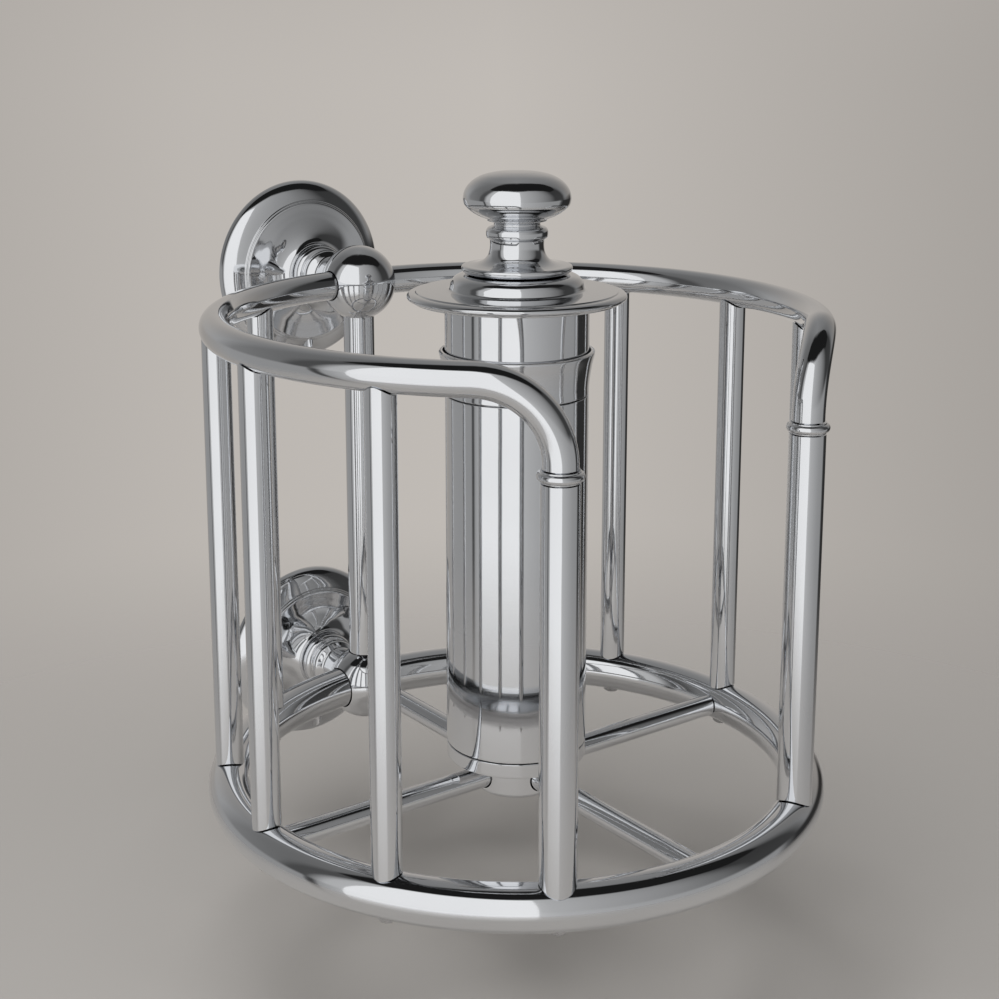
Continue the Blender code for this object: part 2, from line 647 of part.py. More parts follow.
def make_cap_guide(clear, column_top, tie_top):
    """The guide that runs in the cuff's bore, its rubber seal, and the tie screw under it."""
    radius = CUFF_BORE - SLIDE_GAP
    low = SHOULDER_LEVEL - GUIDE_DROP
    flange_top = low + GUIDE_FLANGE
    seal_level = low + GUIDE_FLANGE * GROOVE_SHARE
    half_groove = SEAL_RADIUS + GAP
    groove_floor = radius - 2 * SEAL_RADIUS - GAP
    seat = low + GUIDE_SEAT_DEPTH
    head_bore = TIE_HEAD_RADIUS + GAP
    guide = (
        (clear, column_top), (GUIDE_COLUMN_RADIUS, column_top), (GUIDE_COLUMN_RADIUS, flange_top),
        (radius, flange_top), (radius, seal_level + half_groove),
        (groove_floor, seal_level + half_groove), (groove_floor, seal_level - half_groove),
        (radius, seal_level - half_groove), (radius, low), (head_bore, low), (head_bore, seat),
        (clear, seat),
    )
    add_piece("cap_guide", turned_mesh("cap_guide", guide, ARBOR_FACETS), STEEL).location = (0, CAGE_Y, 0)
    middle = radius - SEAL_RADIUS
    turns = [2 * math.pi * side / SEAL_SIDES for side in range(SEAL_SIDES)]
    ring = [(middle + SEAL_RADIUS * math.cos(turn), SEAL_RADIUS * math.sin(turn)) for turn in turns]
    seal = add_piece("cap_seal", turned_mesh("cap_seal", ring, ARBOR_FACETS), BLACK_RUBBER)
    seal.location = (0, CAGE_Y, seal_level)
    tie = screw_outline(TIE_RADIUS, tie_top, TIE_HEAD_RADIUS, TIE_HEAD_HEIGHT, seat - GAP)
    add_piece("cap_tie_screw", turned_mesh("tie", tie, ROD_FACETS), STEEL).location = (0, CAGE_Y, 0)


def main():
    clear_scene()
    cutters = make_cutters()
    make_rail()
    make_collars()
    make_front_posts(cutters)
    make_bars(cutters)
    make_ring(cutters)
    make_ring_screws()
    make_balls(cutters)
    make_back_post(cutters)
    make_back_post_screw()
    for which, level, held in (("upper", 0, RAIL_RADIUS), ("lower", RING_LEVEL, RING_RADIUS)):
        make_wall_plate(which, level)
        make_rosette(which, level)
        make_arm(which, level, held)
    make_hub(make_cross(cutters))
    make_arbor()
    make_cap()


main()
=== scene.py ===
# %% [markdown]
# # A chrome cage holder, dressed piece by piece
#
# The holder hangs from two turned rosettes. A hoop rail runs round the top and bends down at the
# open front into two posts. Eight thin bars stand on a heavier ring at the bottom, and four rods
# across the ring carry an upright arbor in the middle. A knobbed cap lifts out of the arbor. This
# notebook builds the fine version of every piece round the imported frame.

# %% Load the fixed frame and keep its box
import json
import math

import bmesh
import bpy
from mathutils import Matrix, Vector

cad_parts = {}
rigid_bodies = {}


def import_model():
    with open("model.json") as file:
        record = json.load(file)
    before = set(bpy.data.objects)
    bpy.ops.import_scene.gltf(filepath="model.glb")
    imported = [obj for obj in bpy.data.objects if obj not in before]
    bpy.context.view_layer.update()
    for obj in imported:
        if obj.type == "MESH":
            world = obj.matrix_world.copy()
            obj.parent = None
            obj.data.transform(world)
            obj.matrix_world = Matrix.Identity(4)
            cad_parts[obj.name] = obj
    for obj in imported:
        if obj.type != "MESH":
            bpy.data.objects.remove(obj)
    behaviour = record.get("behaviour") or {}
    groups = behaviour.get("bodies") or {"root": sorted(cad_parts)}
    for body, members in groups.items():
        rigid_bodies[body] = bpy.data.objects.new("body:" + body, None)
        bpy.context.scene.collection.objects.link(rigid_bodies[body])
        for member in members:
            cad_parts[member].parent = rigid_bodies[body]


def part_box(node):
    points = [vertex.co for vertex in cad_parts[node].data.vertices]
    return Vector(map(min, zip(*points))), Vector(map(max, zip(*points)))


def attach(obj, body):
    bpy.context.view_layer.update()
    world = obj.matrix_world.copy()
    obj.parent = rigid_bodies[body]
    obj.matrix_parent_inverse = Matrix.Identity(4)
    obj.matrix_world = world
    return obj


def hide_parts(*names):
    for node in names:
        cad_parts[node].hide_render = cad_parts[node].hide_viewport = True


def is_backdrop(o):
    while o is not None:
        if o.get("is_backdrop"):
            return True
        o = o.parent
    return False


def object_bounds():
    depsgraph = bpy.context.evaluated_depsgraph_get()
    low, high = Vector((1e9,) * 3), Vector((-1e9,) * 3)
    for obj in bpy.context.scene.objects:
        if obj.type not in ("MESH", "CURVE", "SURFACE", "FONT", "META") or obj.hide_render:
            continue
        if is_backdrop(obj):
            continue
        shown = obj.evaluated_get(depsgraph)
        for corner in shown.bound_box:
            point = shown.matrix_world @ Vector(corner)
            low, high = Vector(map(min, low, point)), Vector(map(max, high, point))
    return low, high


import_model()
cad_box = [list(corner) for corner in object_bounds()]


def mm(metres):
    return round(1000 * metres, 2)


print("box in mm:", [[mm(side) for side in corner] for corner in cad_box])

# %% [markdown]
# ## The camera
#
# A photograph can be matched by trying lens and place by eye, or by measuring. Here the ring,
# the rail and the bars were measured in the picture, and a solver found the place, the tilt and
# the lens that put them there. The picture was taken with a raised view camera, so a small
# downward shift stays in, and the rest is plain tilt, which other views bear better.

# %% Camera
CAMERA_PLACE = (-0.2774, -0.4819, 0.0800)
CAMERA_AZIMUTH = math.radians(-36.585)
CAMERA_TILT = math.radians(11.836)
CAMERA_LENS = 62.56
CAMERA_SHIFT = -0.1218

camera_data = bpy.data.cameras.new("camera")
camera_data.lens = CAMERA_LENS
camera_data.sensor_width = 36.0
camera_data.shift_y = CAMERA_SHIFT
camera_data.clip_start = 0.01
camera = bpy.data.objects.new("camera", camera_data)
camera.location = CAMERA_PLACE
camera.rotation_euler = (math.pi / 2 - CAMERA_TILT, 0, CAMERA_AZIMUTH)
bpy.context.scene.collection.objects.link(camera)
bpy.context.scene.camera = camera
bpy.context.scene.view_settings.view_transform = "Standard"
print("camera", CAMERA_PLACE, "lens", CAMERA_LENS)

# %% [markdown]
# ## Wiring nodes
#
# Shaders, the world and Geometry Nodes are all node trees. Written out by hand, every node takes
# three or four lines, and every sum takes a node. One helper adds a node and fills its inputs. A
# small class then stands for what flows out of a socket, and reckoning with it adds the math
# nodes, so a rule in a tree reads as plain arithmetic.

# %% Add a node and fill its inputs
def fill(tree, node, inputs):
    """Fills a node's inputs, by name or number, with values or links."""
    for key, value in inputs.items():
        value = value.socket if isinstance(value, Flow) else value
        if isinstance(value, bpy.types.NodeSocket):
            tree.links.new(value, node.inputs[key])
        else:
            node.inputs[key].default_value = value


def add_node(tree, kind, inputs=None, **settings):
    node = tree.nodes.new(kind)
    for name, value in settings.items():
        setattr(node, name, value)
    fill(tree, node, inputs or {})
    return node


def flow(tree, kind, inputs=None, output=0, **settings):
    """Adds a node and returns what flows out of one of its sockets."""
    return Flow(tree, add_node(tree, kind, inputs, **settings).outputs[output])


# %% Arithmetic in a node tree
def reckon(tree, operation, *values):
    return flow(tree, "ShaderNodeMath", dict(enumerate(values)), operation=operation)


class Flow:
    """What flows out of a socket. Reckoning with it adds math nodes to its tree."""

    def __init__(self, tree, socket):
        self.tree, self.socket = tree, socket

    def do(self, operation, *others):
        return reckon(self.tree, operation, self, *others)

    def __add__(self, other):
        return self.do("ADD", other)

    def __sub__(self, other):
        return self.do("SUBTRACT", other)

    def __rsub__(self, other):
        return reckon(self.tree, "SUBTRACT", other, self)

    def __mul__(self, other):
        return self.do("MULTIPLY", other)

    def __truediv__(self, other):
        return self.do("DIVIDE", other)

    def __rtruediv__(self, other):
        return reckon(self.tree, "DIVIDE", other, self)

    __radd__, __rmul__ = __add__, __mul__


def combined(tree, x=0.0, y=0.0, z=0.0):
    return flow(tree, "ShaderNodeCombineXYZ", {0: x, 1: y, 2: z})


def parted(vector):
    """The x, y and z of a vector."""
    node = add_node(vector.tree, "ShaderNodeSeparateXYZ", {0: vector})
    return [Flow(vector.tree, socket) for socket in node.outputs]


# %% [markdown]
# ## The studio
#
# Polished chrome has almost no colour of its own: what one sees is the room. The metal in the
# photograph mirrors a tall white window at the left of the camera, grey at the right, a pale warm
# tone behind the holder, and black overhead, and that is what makes it look like metal. Lamps
# alone would leave the rest of the room black, and an image of a room isn't wanted here. So the
# world is painted by compass direction, with one colour ramp for what lies below the horizon, one
# for above and one for high up, where the room darkens. A fourth ramp says at which height the
# dark ceiling starts.

# %% Tones by compass direction
# Degrees to the right of the camera, seen from the holder, and how bright the room is there
ROOM_HIGH = (
    (-180, 0.25), (-150, 0.22), (-125, 0.17), (-95, 0.15), (-84, 0.08), (-76, 0.08), (-68, 0.50),
    (-58, 0.54), (6, 0.55), (12, 0.48), (24, 0.43), (40, 0.37), (60, 0.29), (75, 0.18), (88, 0.04),
    (112, 0.04), (125, 0.16), (145, 0.21), (180, 0.25),
)
ROOM_ABOVE = (
    (-180, 0.46), (-160, 0.42), (-132, 0.36), (-118, 0.22), (-90, 0.17), (-84, 0.08), (-76, 0.08),
    (-68, 0.50), (-58, 0.54), (6, 0.55), (12, 0.48), (24, 0.42), (40, 0.35), (60, 0.245),
    (75, 0.16), (88, 0.05), (112, 0.05), (122, 0.22), (140, 0.27), (157, 0.36), (167, 0.44),
    (180, 0.46),
)
ROOM_BELOW = (
    (-180, 0.53), (-170, 0.50), (-162, 0.43), (-148, 0.36), (-122, 0.33), (-114, 0.32),
    (-77, 0.31), (-75.5, 0.06), (-72.5, 0.06), (-70.5, 0.34), (-58, 0.52), (8, 0.56), (14, 0.49),
    (50, 0.38), (70, 0.33), (101, 0.30), (107, 0.10), (113, 0.03), (148, 0.03), (158, 0.34),
    (170, 0.44), (180, 0.53),
)
BACK_TINT = (1.0, 0.94, 0.88)
BACK_FROM = 140
# Degrees to the right again, and the degrees above the horizon where the ceiling starts there
CEILING_STARTS = (
    (-180, 76), (-150, 74), (-120, 69), (-100, 60), (-88, 50), (-70, 52), (-50, 59), (-30, 61.5),
    (40, 61.5), (60, 57), (80, 49), (92, 38), (110, 37), (122, 46), (135, 64), (150, 72),
    (180, 76),
)
CEILING = (0.012, 0.012, 0.012, 1.0)
# From which height to which one ramp turns into the next, as the sine of the angle
HORIZON_FADE = (-0.05, 0.10)
HIGH_FADE = (0.12, 0.80)
CEILING_BLUR = 0.026
print("room tones:", len(ROOM_HIGH), "high up,", len(ROOM_ABOVE), "above and",
      len(ROOM_BELOW), "below")


# %% Helpers that mix tones
def dot(vector, direction):
    return flow(vector.tree, "ShaderNodeVectorMath", {0: vector, 1: direction}, "Value",
                operation="DOT_PRODUCT")


def blend_colours(share, first, second):
    """A Mix node. Its colours go in at sockets 6 and 7, and the result comes out at 2."""
    return flow(share.tree, "ShaderNodeMix", {0: share, 6: first, 7: second}, 2, data_type="RGBA")


def smooth_between(value, low, high):
    """0 below low, 1 above high, and a smooth step between them."""
    inputs = {"Value": value, "From Min": low, "From Max": high}
    return flow(value.tree, "ShaderNodeMapRange", inputs, interpolation_type="SMOOTHSTEP")


# %% The painted world
world = bpy.data.worlds.new("studio")
bpy.context.scene.world = world
world.use_nodes = True
sky = world.node_tree
sky.nodes.clear()
view = flow(sky, "ShaderNodeTexCoord", output="Generated")
to_right = dot(view, (math.cos(CAMERA_AZIMUTH), math.sin(CAMERA_AZIMUTH), 0))
to_camera = dot(view, (math.sin(CAMERA_AZIMUTH), -math.cos(CAMERA_AZIMUTH), 0))
compass = to_right.do("ARCTAN2", to_camera) / (2 * math.pi)
height = parted(view)[2]


def compass_ramp(points, warm=False):
    """A colour ramp round the compass. Its side behind the holder can be warm."""
    ramp = add_node(sky, "ShaderNodeValToRGB", {0: compass + 0.5})
    stops = ramp.color_ramp.elements
    for number, (degrees, value) in enumerate(points):
        place = degrees / 360 + 0.5
        stop = stops[number] if number < 2 else stops.new(place)
        stop.position = place
        tint = BACK_TINT if warm and abs(degrees) >= BACK_FROM else (1.0, 1.0, 1.0)
        stop.color = (*[value * part for part in tint], 1.0)
    return Flow(sky, ramp.outputs[0])


below, above = compass_ramp(ROOM_BELOW, True), compass_ramp(ROOM_ABOVE, True)
start = compass_ramp([(degrees, math.sin(math.radians(up))) for degrees, up in CEILING_STARTS])
room = blend_colours(smooth_between(height, *HORIZON_FADE), below, above)
room = blend_colours(smooth_between(height, *HIGH_FADE), room, compass_ramp(ROOM_HIGH))
in_ceiling = smooth_between(height - start, -CEILING_BLUR, CEILING_BLUR)
studio = blend_colours(in_ceiling, room, CEILING)
back = flow(sky, "ShaderNodeBackground", {"Color": studio, "Strength": 1.0})
add_node(sky, "ShaderNodeOutputWorld", {"Surface": back})
print("world:", len(sky.nodes), "nodes")

# %% [markdown]
# ### Lamps and floor
#
# The painted room lights everything softly from all sides. The window is a real lamp: a tall
# upright panel of light, which mirrors in every bar and gives the soft shadow that a window
# gives. It isn't seen directly, as a lamp stands outside the frame in a studio. A wide soft lamp
# overhead brings the floor and all that is matt to a plain level. Mirrors don't show it, or it
# would stand in the dark ceiling. The floor is one pale matt sheet a little below the holder. It
# keeps the shadow, and fades into the room at its rim, so no edge shows in any view.

# %% Panels of light
WINDOW_LEFT = math.radians(-59)
WINDOW_RIGHT = math.radians(7)
WINDOW_AWAY = 1.5
WINDOW_LOW = -1.05
WINDOW_HIGH = 2.60
WINDOW_TONE = 0.42
TOP_PLACE = Vector((-0.45, -0.35, 1.20))
TOP_SIZE = 0.9
TOP_POWER = 16.0
OBJECT_MIDDLE = Vector((0, -0.116, -0.07))


def panel_of_light(name, width, tall, power, place, turn, in_mirrors=True):
    """A rectangular lamp that the camera doesn't see."""
    data = bpy.data.lights.new(name, "AREA")
    data.shape = "RECTANGLE"
    data.size, data.size_y, data.energy = width, tall, power
    lamp = bpy.data.objects.new(name, data)
    lamp.location, lamp.rotation_euler = place, turn
    lamp.visible_camera, lamp.visible_glossy = False, in_mirrors
    bpy.context.scene.collection.objects.link(lamp)
    print(name, round(width, 2), "by", round(tall, 2), "m,", round(power, 1), "W")


across = 2 * WINDOW_AWAY * math.tan((WINDOW_RIGHT - WINDOW_LEFT) / 2)
tall = WINDOW_HIGH - WINDOW_LOW
turned = CAMERA_AZIMUTH + (WINDOW_LEFT + WINDOW_RIGHT) / 2
place = OBJECT_MIDDLE + Vector((math.sin(turned), -math.cos(turned), 0)) * WINDOW_AWAY
place.z = (WINDOW_LOW + WINDOW_HIGH) / 2
panel_of_light("window_lamp", across, tall, WINDOW_TONE * math.pi * across * tall, place,
               (math.pi / 2, 0, turned))
to_object = (OBJECT_MIDDLE - TOP_PLACE).to_track_quat("-Z", "Y").to_euler()
panel_of_light("top_lamp", TOP_SIZE, TOP_SIZE, TOP_POWER, TOP_PLACE, to_object, False)

# %% Floor
FLOOR_LEVEL = -0.200
FLOOR_REACH = 0.50
FADE_START = 0.12
FLOOR_COLOUR = (0.435, 0.415, 0.394, 1.0)

floor_mesh = bpy.data.meshes.new("floor")
floor_corners = [(x * FLOOR_REACH, y * FLOOR_REACH + OBJECT_MIDDLE.y, FLOOR_LEVEL)
                 for x, y in ((-1, -1), (1, -1), (1, 1), (-1, 1))]
floor_mesh.from_pydata(floor_corners, [], [(0, 1, 2, 3)])
floor = bpy.data.objects.new("floor", floor_mesh)
bpy.context.scene.collection.objects.link(floor)
floor_finish = bpy.data.materials.new("floor_finish")
floor_finish.use_nodes = True
card = floor_finish.node_tree
spot = flow(card, "ShaderNodeTexCoord", output="Object")
middle = (0, OBJECT_MIDDLE.y, FLOOR_LEVEL)
away = flow(card, "ShaderNodeVectorMath", {0: spot, 1: middle}, "Value", operation="DISTANCE")
fill(card, card.nodes["Principled BSDF"], {
    "Base Color": FLOOR_COLOUR, "Roughness": 0.85, "Specular IOR Level": 0.1,
    "Alpha": smooth_between(away, FLOOR_REACH, FADE_START)})
floor_mesh.materials.append(floor_finish)
floor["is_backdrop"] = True
print("floor at", FLOOR_LEVEL, "m, clear from", FLOOR_REACH, "m out")

# %% [markdown]
# ## Finishes
#
# The real pieces are brass, turned or bent, then polished and plated with chrome. A mirror with
# no marks at all would look like a drawing. Plating copies what is under it: very faint lines
# left by the polishing mop, round the axis of a turned piece and along a bar, and a slow waviness
# of a few millimetres that makes reflections swim a little. All of it is drawn from Object
# coordinates, which need no unwrapping. A Mapping node set to Texture moves the pattern to the
# piece's own axis, so the lines follow the lathe.

# %% Helpers for finishes
NOISE_LOW, NOISE_HIGH = 0.3, 0.7
DRAWN_STRETCH = 0.015


def new_finish(name, place=(0, 0, 0), turn=(0, 0, 0)):
    """A material, and a point on the piece measured from the piece's own axis."""
    material = bpy.data.materials.new(name)
    material.use_nodes = True
    spot = flow(material.node_tree, "ShaderNodeTexCoord", output="Object")
    inputs = {"Vector": spot, "Location": place, "Rotation": turn}
    return material, flow(spot.tree, "ShaderNodeMapping", inputs, vector_type="TEXTURE")


def coat(material, inputs):
    """Fills the material's shader."""
    tree = material.node_tree
    fill(tree, tree.nodes["Principled BSDF"], inputs)
    return material


def noise(vector, scale, detail=2.0):
    inputs = {"Vector": vector, "Scale": scale, "Detail": detail}
    return flow(vector.tree, "ShaderNodeTexNoise", inputs)


def spread(value, low, high):
    """Maps a noise, which stays near its middle, to the range low to high."""
    return flow(value.tree, "ShaderNodeMapRange", {
        "Value": value, "From Min": NOISE_LOW, "From Max": NOISE_HIGH,
        "To Min": low, "To Max": high})


def grain_vector(local, grain):
    """Coordinates whose noise draws lines round the axis ("turned") or along it ("drawn")."""
    x, y, z = parted(local)
    if grain == "drawn":
        return combined(local.tree, x, y, z * DRAWN_STRETCH)
    flat = combined(local.tree, x, y)
    radius = flow(local.tree, "ShaderNodeVectorMath", {0: flat}, "Value", operation="LENGTH")
    return combined(local.tree, radius, z)


def relief(*layers):
    """Bump nodes in a row, each a (height, depth) layer on the one before."""
    below = {}
    for layer, depth in layers:
        inputs = {"Height": layer, "Distance": depth, "Strength": 1.0, **below}
        below = {"Normal": flow(layer.tree, "ShaderNodeBump", inputs)}
    return below["Normal"]


# %% Chrome
MOP_LINES = 2600.0
WAVES = 75.0
HAZE = 28.0
LINE_DEPTH = 0.0000012
WAVE_DEPTH = 0.000030
CHROME_DIM = (0.755, 0.767, 0.786, 1)
CHROME_BRIGHT = (0.800, 0.811, 0.830, 1)


def polished_chrome(name, grain="turned", place=(0, 0, 0), turn=(0, 0, 0)):
    material, local = new_finish(name, place, turn)
    lines = noise(grain_vector(local, grain), MOP_LINES)
    waves = noise(local, WAVES, detail=1.0)
    haze = noise(local, HAZE, detail=4.0)
    return coat(material, {
        "Base Color": blend_colours(spread(haze, 0.0, 1.0), CHROME_DIM, CHROME_BRIGHT),
        "Metallic": 1.0,
        "Roughness": spread(haze, 0.030, 0.055) + spread(lines, 0.0, 0.025),
        "Normal": relief((waves, WAVE_DEPTH), (lines, LINE_DEPTH)),
    })


CAGE_Y = -0.1160
RING_LEVEL = -0.1285
AXIS = (0, CAGE_Y, 0)
QUARTER = math.pi / 2
FACING_ROOM = (QUARTER, 0, 0)
chrome = {
    "upright": polished_chrome("chrome_drawn_uprights", "drawn"),
    "hoop": polished_chrome("chrome_bent_hoops", "turned", AXIS),
    "arbor": polished_chrome("chrome_turned_arbor", "turned", AXIS),
    "upper": polished_chrome("chrome_turned_upper_mount", "turned", (0, 0, 0), FACING_ROOM),
    "lower": polished_chrome("chrome_turned_lower_mount", "turned", (0, 0, RING_LEVEL),
                             FACING_ROOM),
}
print("chrome finishes:", len(chrome))

# %% [markdown]
# ### Bare steel and rubber
#
# The wall plates, the screws and the inner guide aren't plated. They are steel as the lathe left
# it: coarser lines, darker patches and a duller shine. The seal is black rubber with a matt,
# slightly mottled skin. A flat black would do from afar, but the cap lifts out and shows the seal
# close up, so the mottle also goes into its relief.

# %% Steel and rubber
STEEL_LINES = 5200.0
STEEL_PATCHES = 320.0
STEEL_LINE_DEPTH = 0.000004
STEEL_DIM = (0.50, 0.50, 0.51, 1)
STEEL_BRIGHT = (0.63, 0.63, 0.635, 1)
RUBBER_MOTTLE = 900.0
MOTTLE_DEPTH = 0.00003
RUBBER_DIM = (0.014, 0.014, 0.015, 1)
RUBBER_BRIGHT = (0.032, 0.031, 0.030, 1)


def bare_steel(name, place=(0, 0, 0), turn=(0, 0, 0)):
    material, local = new_finish(name, place, turn)
    lines = noise(grain_vector(local, "turned"), STEEL_LINES, detail=3.0)
    patches = noise(local, STEEL_PATCHES, detail=4.0)
    return coat(material, {
        "Base Color": blend_colours(spread(patches, 0.0, 1.0), STEEL_DIM, STEEL_BRIGHT),
        "Metallic": 1.0,
        "Roughness": spread(patches, 0.20, 0.30) + spread(lines, 0.0, 0.10),
        "Normal": relief((lines, STEEL_LINE_DEPTH)),
    })


def seal_rubber(name):
    material, local = new_finish(name)
    mottle = noise(local, RUBBER_MOTTLE, detail=5.0)
    return coat(material, {
        "Base Color": blend_colours(spread(mottle, 0.0, 1.0), RUBBER_DIM, RUBBER_BRIGHT),
        "Roughness": spread(mottle, 0.48, 0.68),
        "Normal": relief((mottle, MOTTLE_DEPTH)),
    })


steel = {
    "upright": bare_steel("steel_screws"),
    "arbor": bare_steel("steel_turned_guide", AXIS),
    "upper": bare_steel("steel_upper_plate", (0, 0, 0), FACING_ROOM),
    "lower": bare_steel("steel_lower_plate", (0, 0, RING_LEVEL), FACING_ROOM),
}
rubber = seal_rubber("black_rubber_seal")
print("steel finishes:", len(steel), "and", rubber.name)

# %% [markdown]
# ## Turning a piece
#
# Most of the pieces come off a lathe, so one helper turns an outline about an axis. A plain
# polygon would do for the solid, but polished metal shows every corner. An outline here is a list
# of corners and runs: a pair of numbers is a corner, and a list of pairs is a smooth curve through
# them. Each corner gets a tiny round, because no real edge is sharp, and the round is what
# catches the light.

# %% Smooth runs
WELD = 0.000001
RUN_STEPS = 6


def marks_along(span):
    """How far along a span each of its points lies."""
    marks = [0.0]
    for first, second in zip(span, span[1:]):
        marks.append(marks[-1] + (second - first).length)
    return marks


def smooth_run(points):
    """Points along a smooth curve through the given ones, closer together."""
    knots = [Vector(point) for point in points]
    if len(knots) < 3:
        return knots
    times = [0.0]
    for first, second in zip(knots, knots[1:]):
        times.append(times[-1] + (second - first).length ** 0.5)
    slopes = []
    for index in range(len(knots)):
        before, after = max(index - 1, 0), min(index + 1, len(knots) - 1)
        slopes.append((knots[after] - knots[before]) / (times[after] - times[before]))
    curve = [knots[0]]
    for index in range(len(knots) - 1):
        span = times[index + 1] - times[index]
        for step in range(1, RUN_STEPS + 1):
            t = step / RUN_STEPS
            curve.append(knots[index] * (2 * t ** 3 - 3 * t ** 2 + 1)
                         + slopes[index] * span * (t ** 3 - 2 * t ** 2 + t)
                         + knots[index + 1] * (3 * t ** 2 - 2 * t ** 3)
                         + slopes[index + 1] * span * (t ** 3 - t ** 2))
    return curve


print("a run through 3 points has", len(smooth_run([(0, 0), (1, 1), (2, 0)])), "points")

# %% Rounded corners
EDGE_ROUND = 0.00022
ROUND_STEPS = 4
LONGEST_ROUND = 0.35
SHARP_TURN = 0.2
NEXT_MARK = 2.2
SAME_SPOT = 4 * WELD


def trimmed(span, start, end):
    """A span without its first and last stretch, with a point just inside each end."""
    lengths = marks_along(span)
    total = lengths[-1]

    def at(distance):
        for index in range(len(span) - 1):
            if distance <= lengths[index + 1] or index == len(span) - 2:
                step = max(lengths[index + 1] - lengths[index], WELD)
                return span[index].lerp(span[index + 1], (distance - lengths[index]) / step)

    marks = [start, total - end]
    if start > 0 and 3 * start + 2 * end < total:
        marks.append(NEXT_MARK * start)
    if end > 0 and 3 * end + 2 * start < total:
        marks.append(total - NEXT_MARK * end)
    inner = [mark for mark in lengths if start + WELD < mark < total - end - WELD]
    return [at(mark) for mark in sorted(set(marks + inner))]


def spans_of(items):
    """The straight and curved spans of an outline. One that starts on the axis stays open."""
    spans, corner = [], None
    for item in items:
        run = smooth_run(item) if isinstance(item, list) else [Vector(item)]
        if corner is not None and (run[0] - corner).length > WELD:
            spans.append([corner, run[0]])
        if len(run) > 1:
            spans.append(run)
        corner = run[-1]
    closed = spans[0][0].x > WELD
    if closed:
        spans.append([corner, spans[0][0]])
    return spans, closed


def corner_rounds(spans, closed, edge):
    """How far the round at the end of each span reaches, with none where the outline runs on."""
    lengths = [marks_along(span)[-1] for span in spans]
    rounds = []
    for index, span in enumerate(spans):
        after = (index + 1) % len(spans)
        turn = (span[-1] - span[-2]).angle(spans[after][1] - spans[after][0], 0)
        sharp = turn > SHARP_TURN and (closed or after > 0)
        longest = LONGEST_ROUND * min(lengths[index], lengths[after])
        rounds.append(min(edge, longest) if sharp else 0.0)
    return rounds


def rounded_outline(items, edge):
    """The dense outline of a list of corners and runs."""
    spans, closed = spans_of(items)
    rounds = corner_rounds(spans, closed, edge)
    outline = []
    for index, span in enumerate(spans):
        outline.extend(trimmed(span, rounds[index - 1], rounds[index]))
        if rounds[index] > 0:
            begin, corner = outline[-1], span[-1]
            finish = trimmed(spans[(index + 1) % len(spans)], rounds[index], 0)[0]
            for step in range(1, ROUND_STEPS):
                t = step / ROUND_STEPS
                outline.append(begin * (1 - t) ** 2 + corner * 2 * t * (1 - t) + finish * t ** 2)
    cleaned = [outline[0]]
    for point in outline[1:]:
        if (point - cleaned[-1]).length > SAME_SPOT:
            cleaned.append(point)
    if closed and (cleaned[0] - cleaned[-1]).length <= SAME_SPOT:
        cleaned.pop()
    return [(point.x, point.y) for point in cleaned]


square = [(0.01, 0), (0.02, 0), (0.02, 0.01), (0.01, 0.01)]
print("a square becomes an outline of", len(rounded_outline(square, EDGE_ROUND)), "points")


# %% The lathe
WIDE_FACETS = 128
LATHE_FACETS = 96
SLIM_FACETS = 64
BORE_FACETS = 48
SINK_FACETS = 44
SCREW_FACETS = 40


def mesh_from(shape, name):
    mesh = bpy.data.meshes.new(name)
    shape.to_mesh(mesh)
    shape.free()
    return mesh


def lathe(name, items, facets=LATHE_FACETS, edge=EDGE_ROUND, place=(0, 0, 0),
          facing_room=False):
    """A closed mesh turned from an outline, standing up, or lying along Y and facing the room."""
    outline = rounded_outline(items, edge)
    shape = bmesh.new()
    corners = [shape.verts.new((radius, 0, height)) for radius, height in outline]
    links = list(zip(corners, corners[1:]))
    if outline[0][0] > WELD:
        links.append((corners[-1], corners[0]))
    edges = [shape.edges.new(link) for link in links]
    bmesh.ops.spin(shape, geom=corners + edges, cent=(0, 0, 0), axis=(0, 0, 1), dvec=(0, 0, 0),
                   angle=2 * math.pi, steps=facets, use_merge=True)
    bmesh.ops.remove_doubles(shape, verts=shape.verts, dist=WELD)
    bmesh.ops.recalc_face_normals(shape, faces=shape.faces)
    if facing_room:
        shape.transform(Matrix.Rotation(QUARTER, 4, "X"))
    shape.transform(Matrix.Translation(place))
    return mesh_from(shape, name)


def shares(points, radius, height, base=0.0):
    """Outline points from shares of a radius and of a height above a base."""
    return [(radius * across, base + height * up) for across, up in points]


# %% [markdown]
# ### Putting a piece in the scene
#
# Each fine piece stands for one or more solids of the frame. The next helper names it, gives it
# its finish, tells the frame which body carries it, and prints how far its box is from the box of
# the solids that it stands for. Shading is smooth except where two faces meet at more than 35
# degrees, so a turned face looks round and a crisp edge stays crisp.

# %% Finish a piece and measure it against the frame
CREASE = math.radians(35)


def miss(mesh, nodes):
    """How far the mesh's box is from the box of the solids that it stands for."""
    corners = [vertex.co for vertex in mesh.vertices]
    boxes = [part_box(node) for node in nodes]
    return max(abs(pick(corner[axis] for corner in corners) - pick(box[end][axis] for box in boxes))
               for end, pick in enumerate((min, max)) for axis in range(3))


def add_piece(mesh, finish, nodes, body="cage"):
    mesh.materials.clear()
    mesh.materials.append(finish)
    mesh.polygons.foreach_set("material_index", [0] * len(mesh.polygons))
    mesh.shade_smooth()
    mesh.set_sharp_from_angle(angle=CREASE)
    piece = bpy.data.objects.new("fine_" + mesh.name.split(".")[0], mesh)
    bpy.context.scene.collection.objects.link(piece)
    mesh.calc_loop_triangles()
    print(f"{piece.name}: {len(mesh.loop_triangles)} triangles,",
          f"{mm(miss(mesh, nodes))} mm from the frame's box")
    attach(piece, body)
    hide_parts(*nodes)


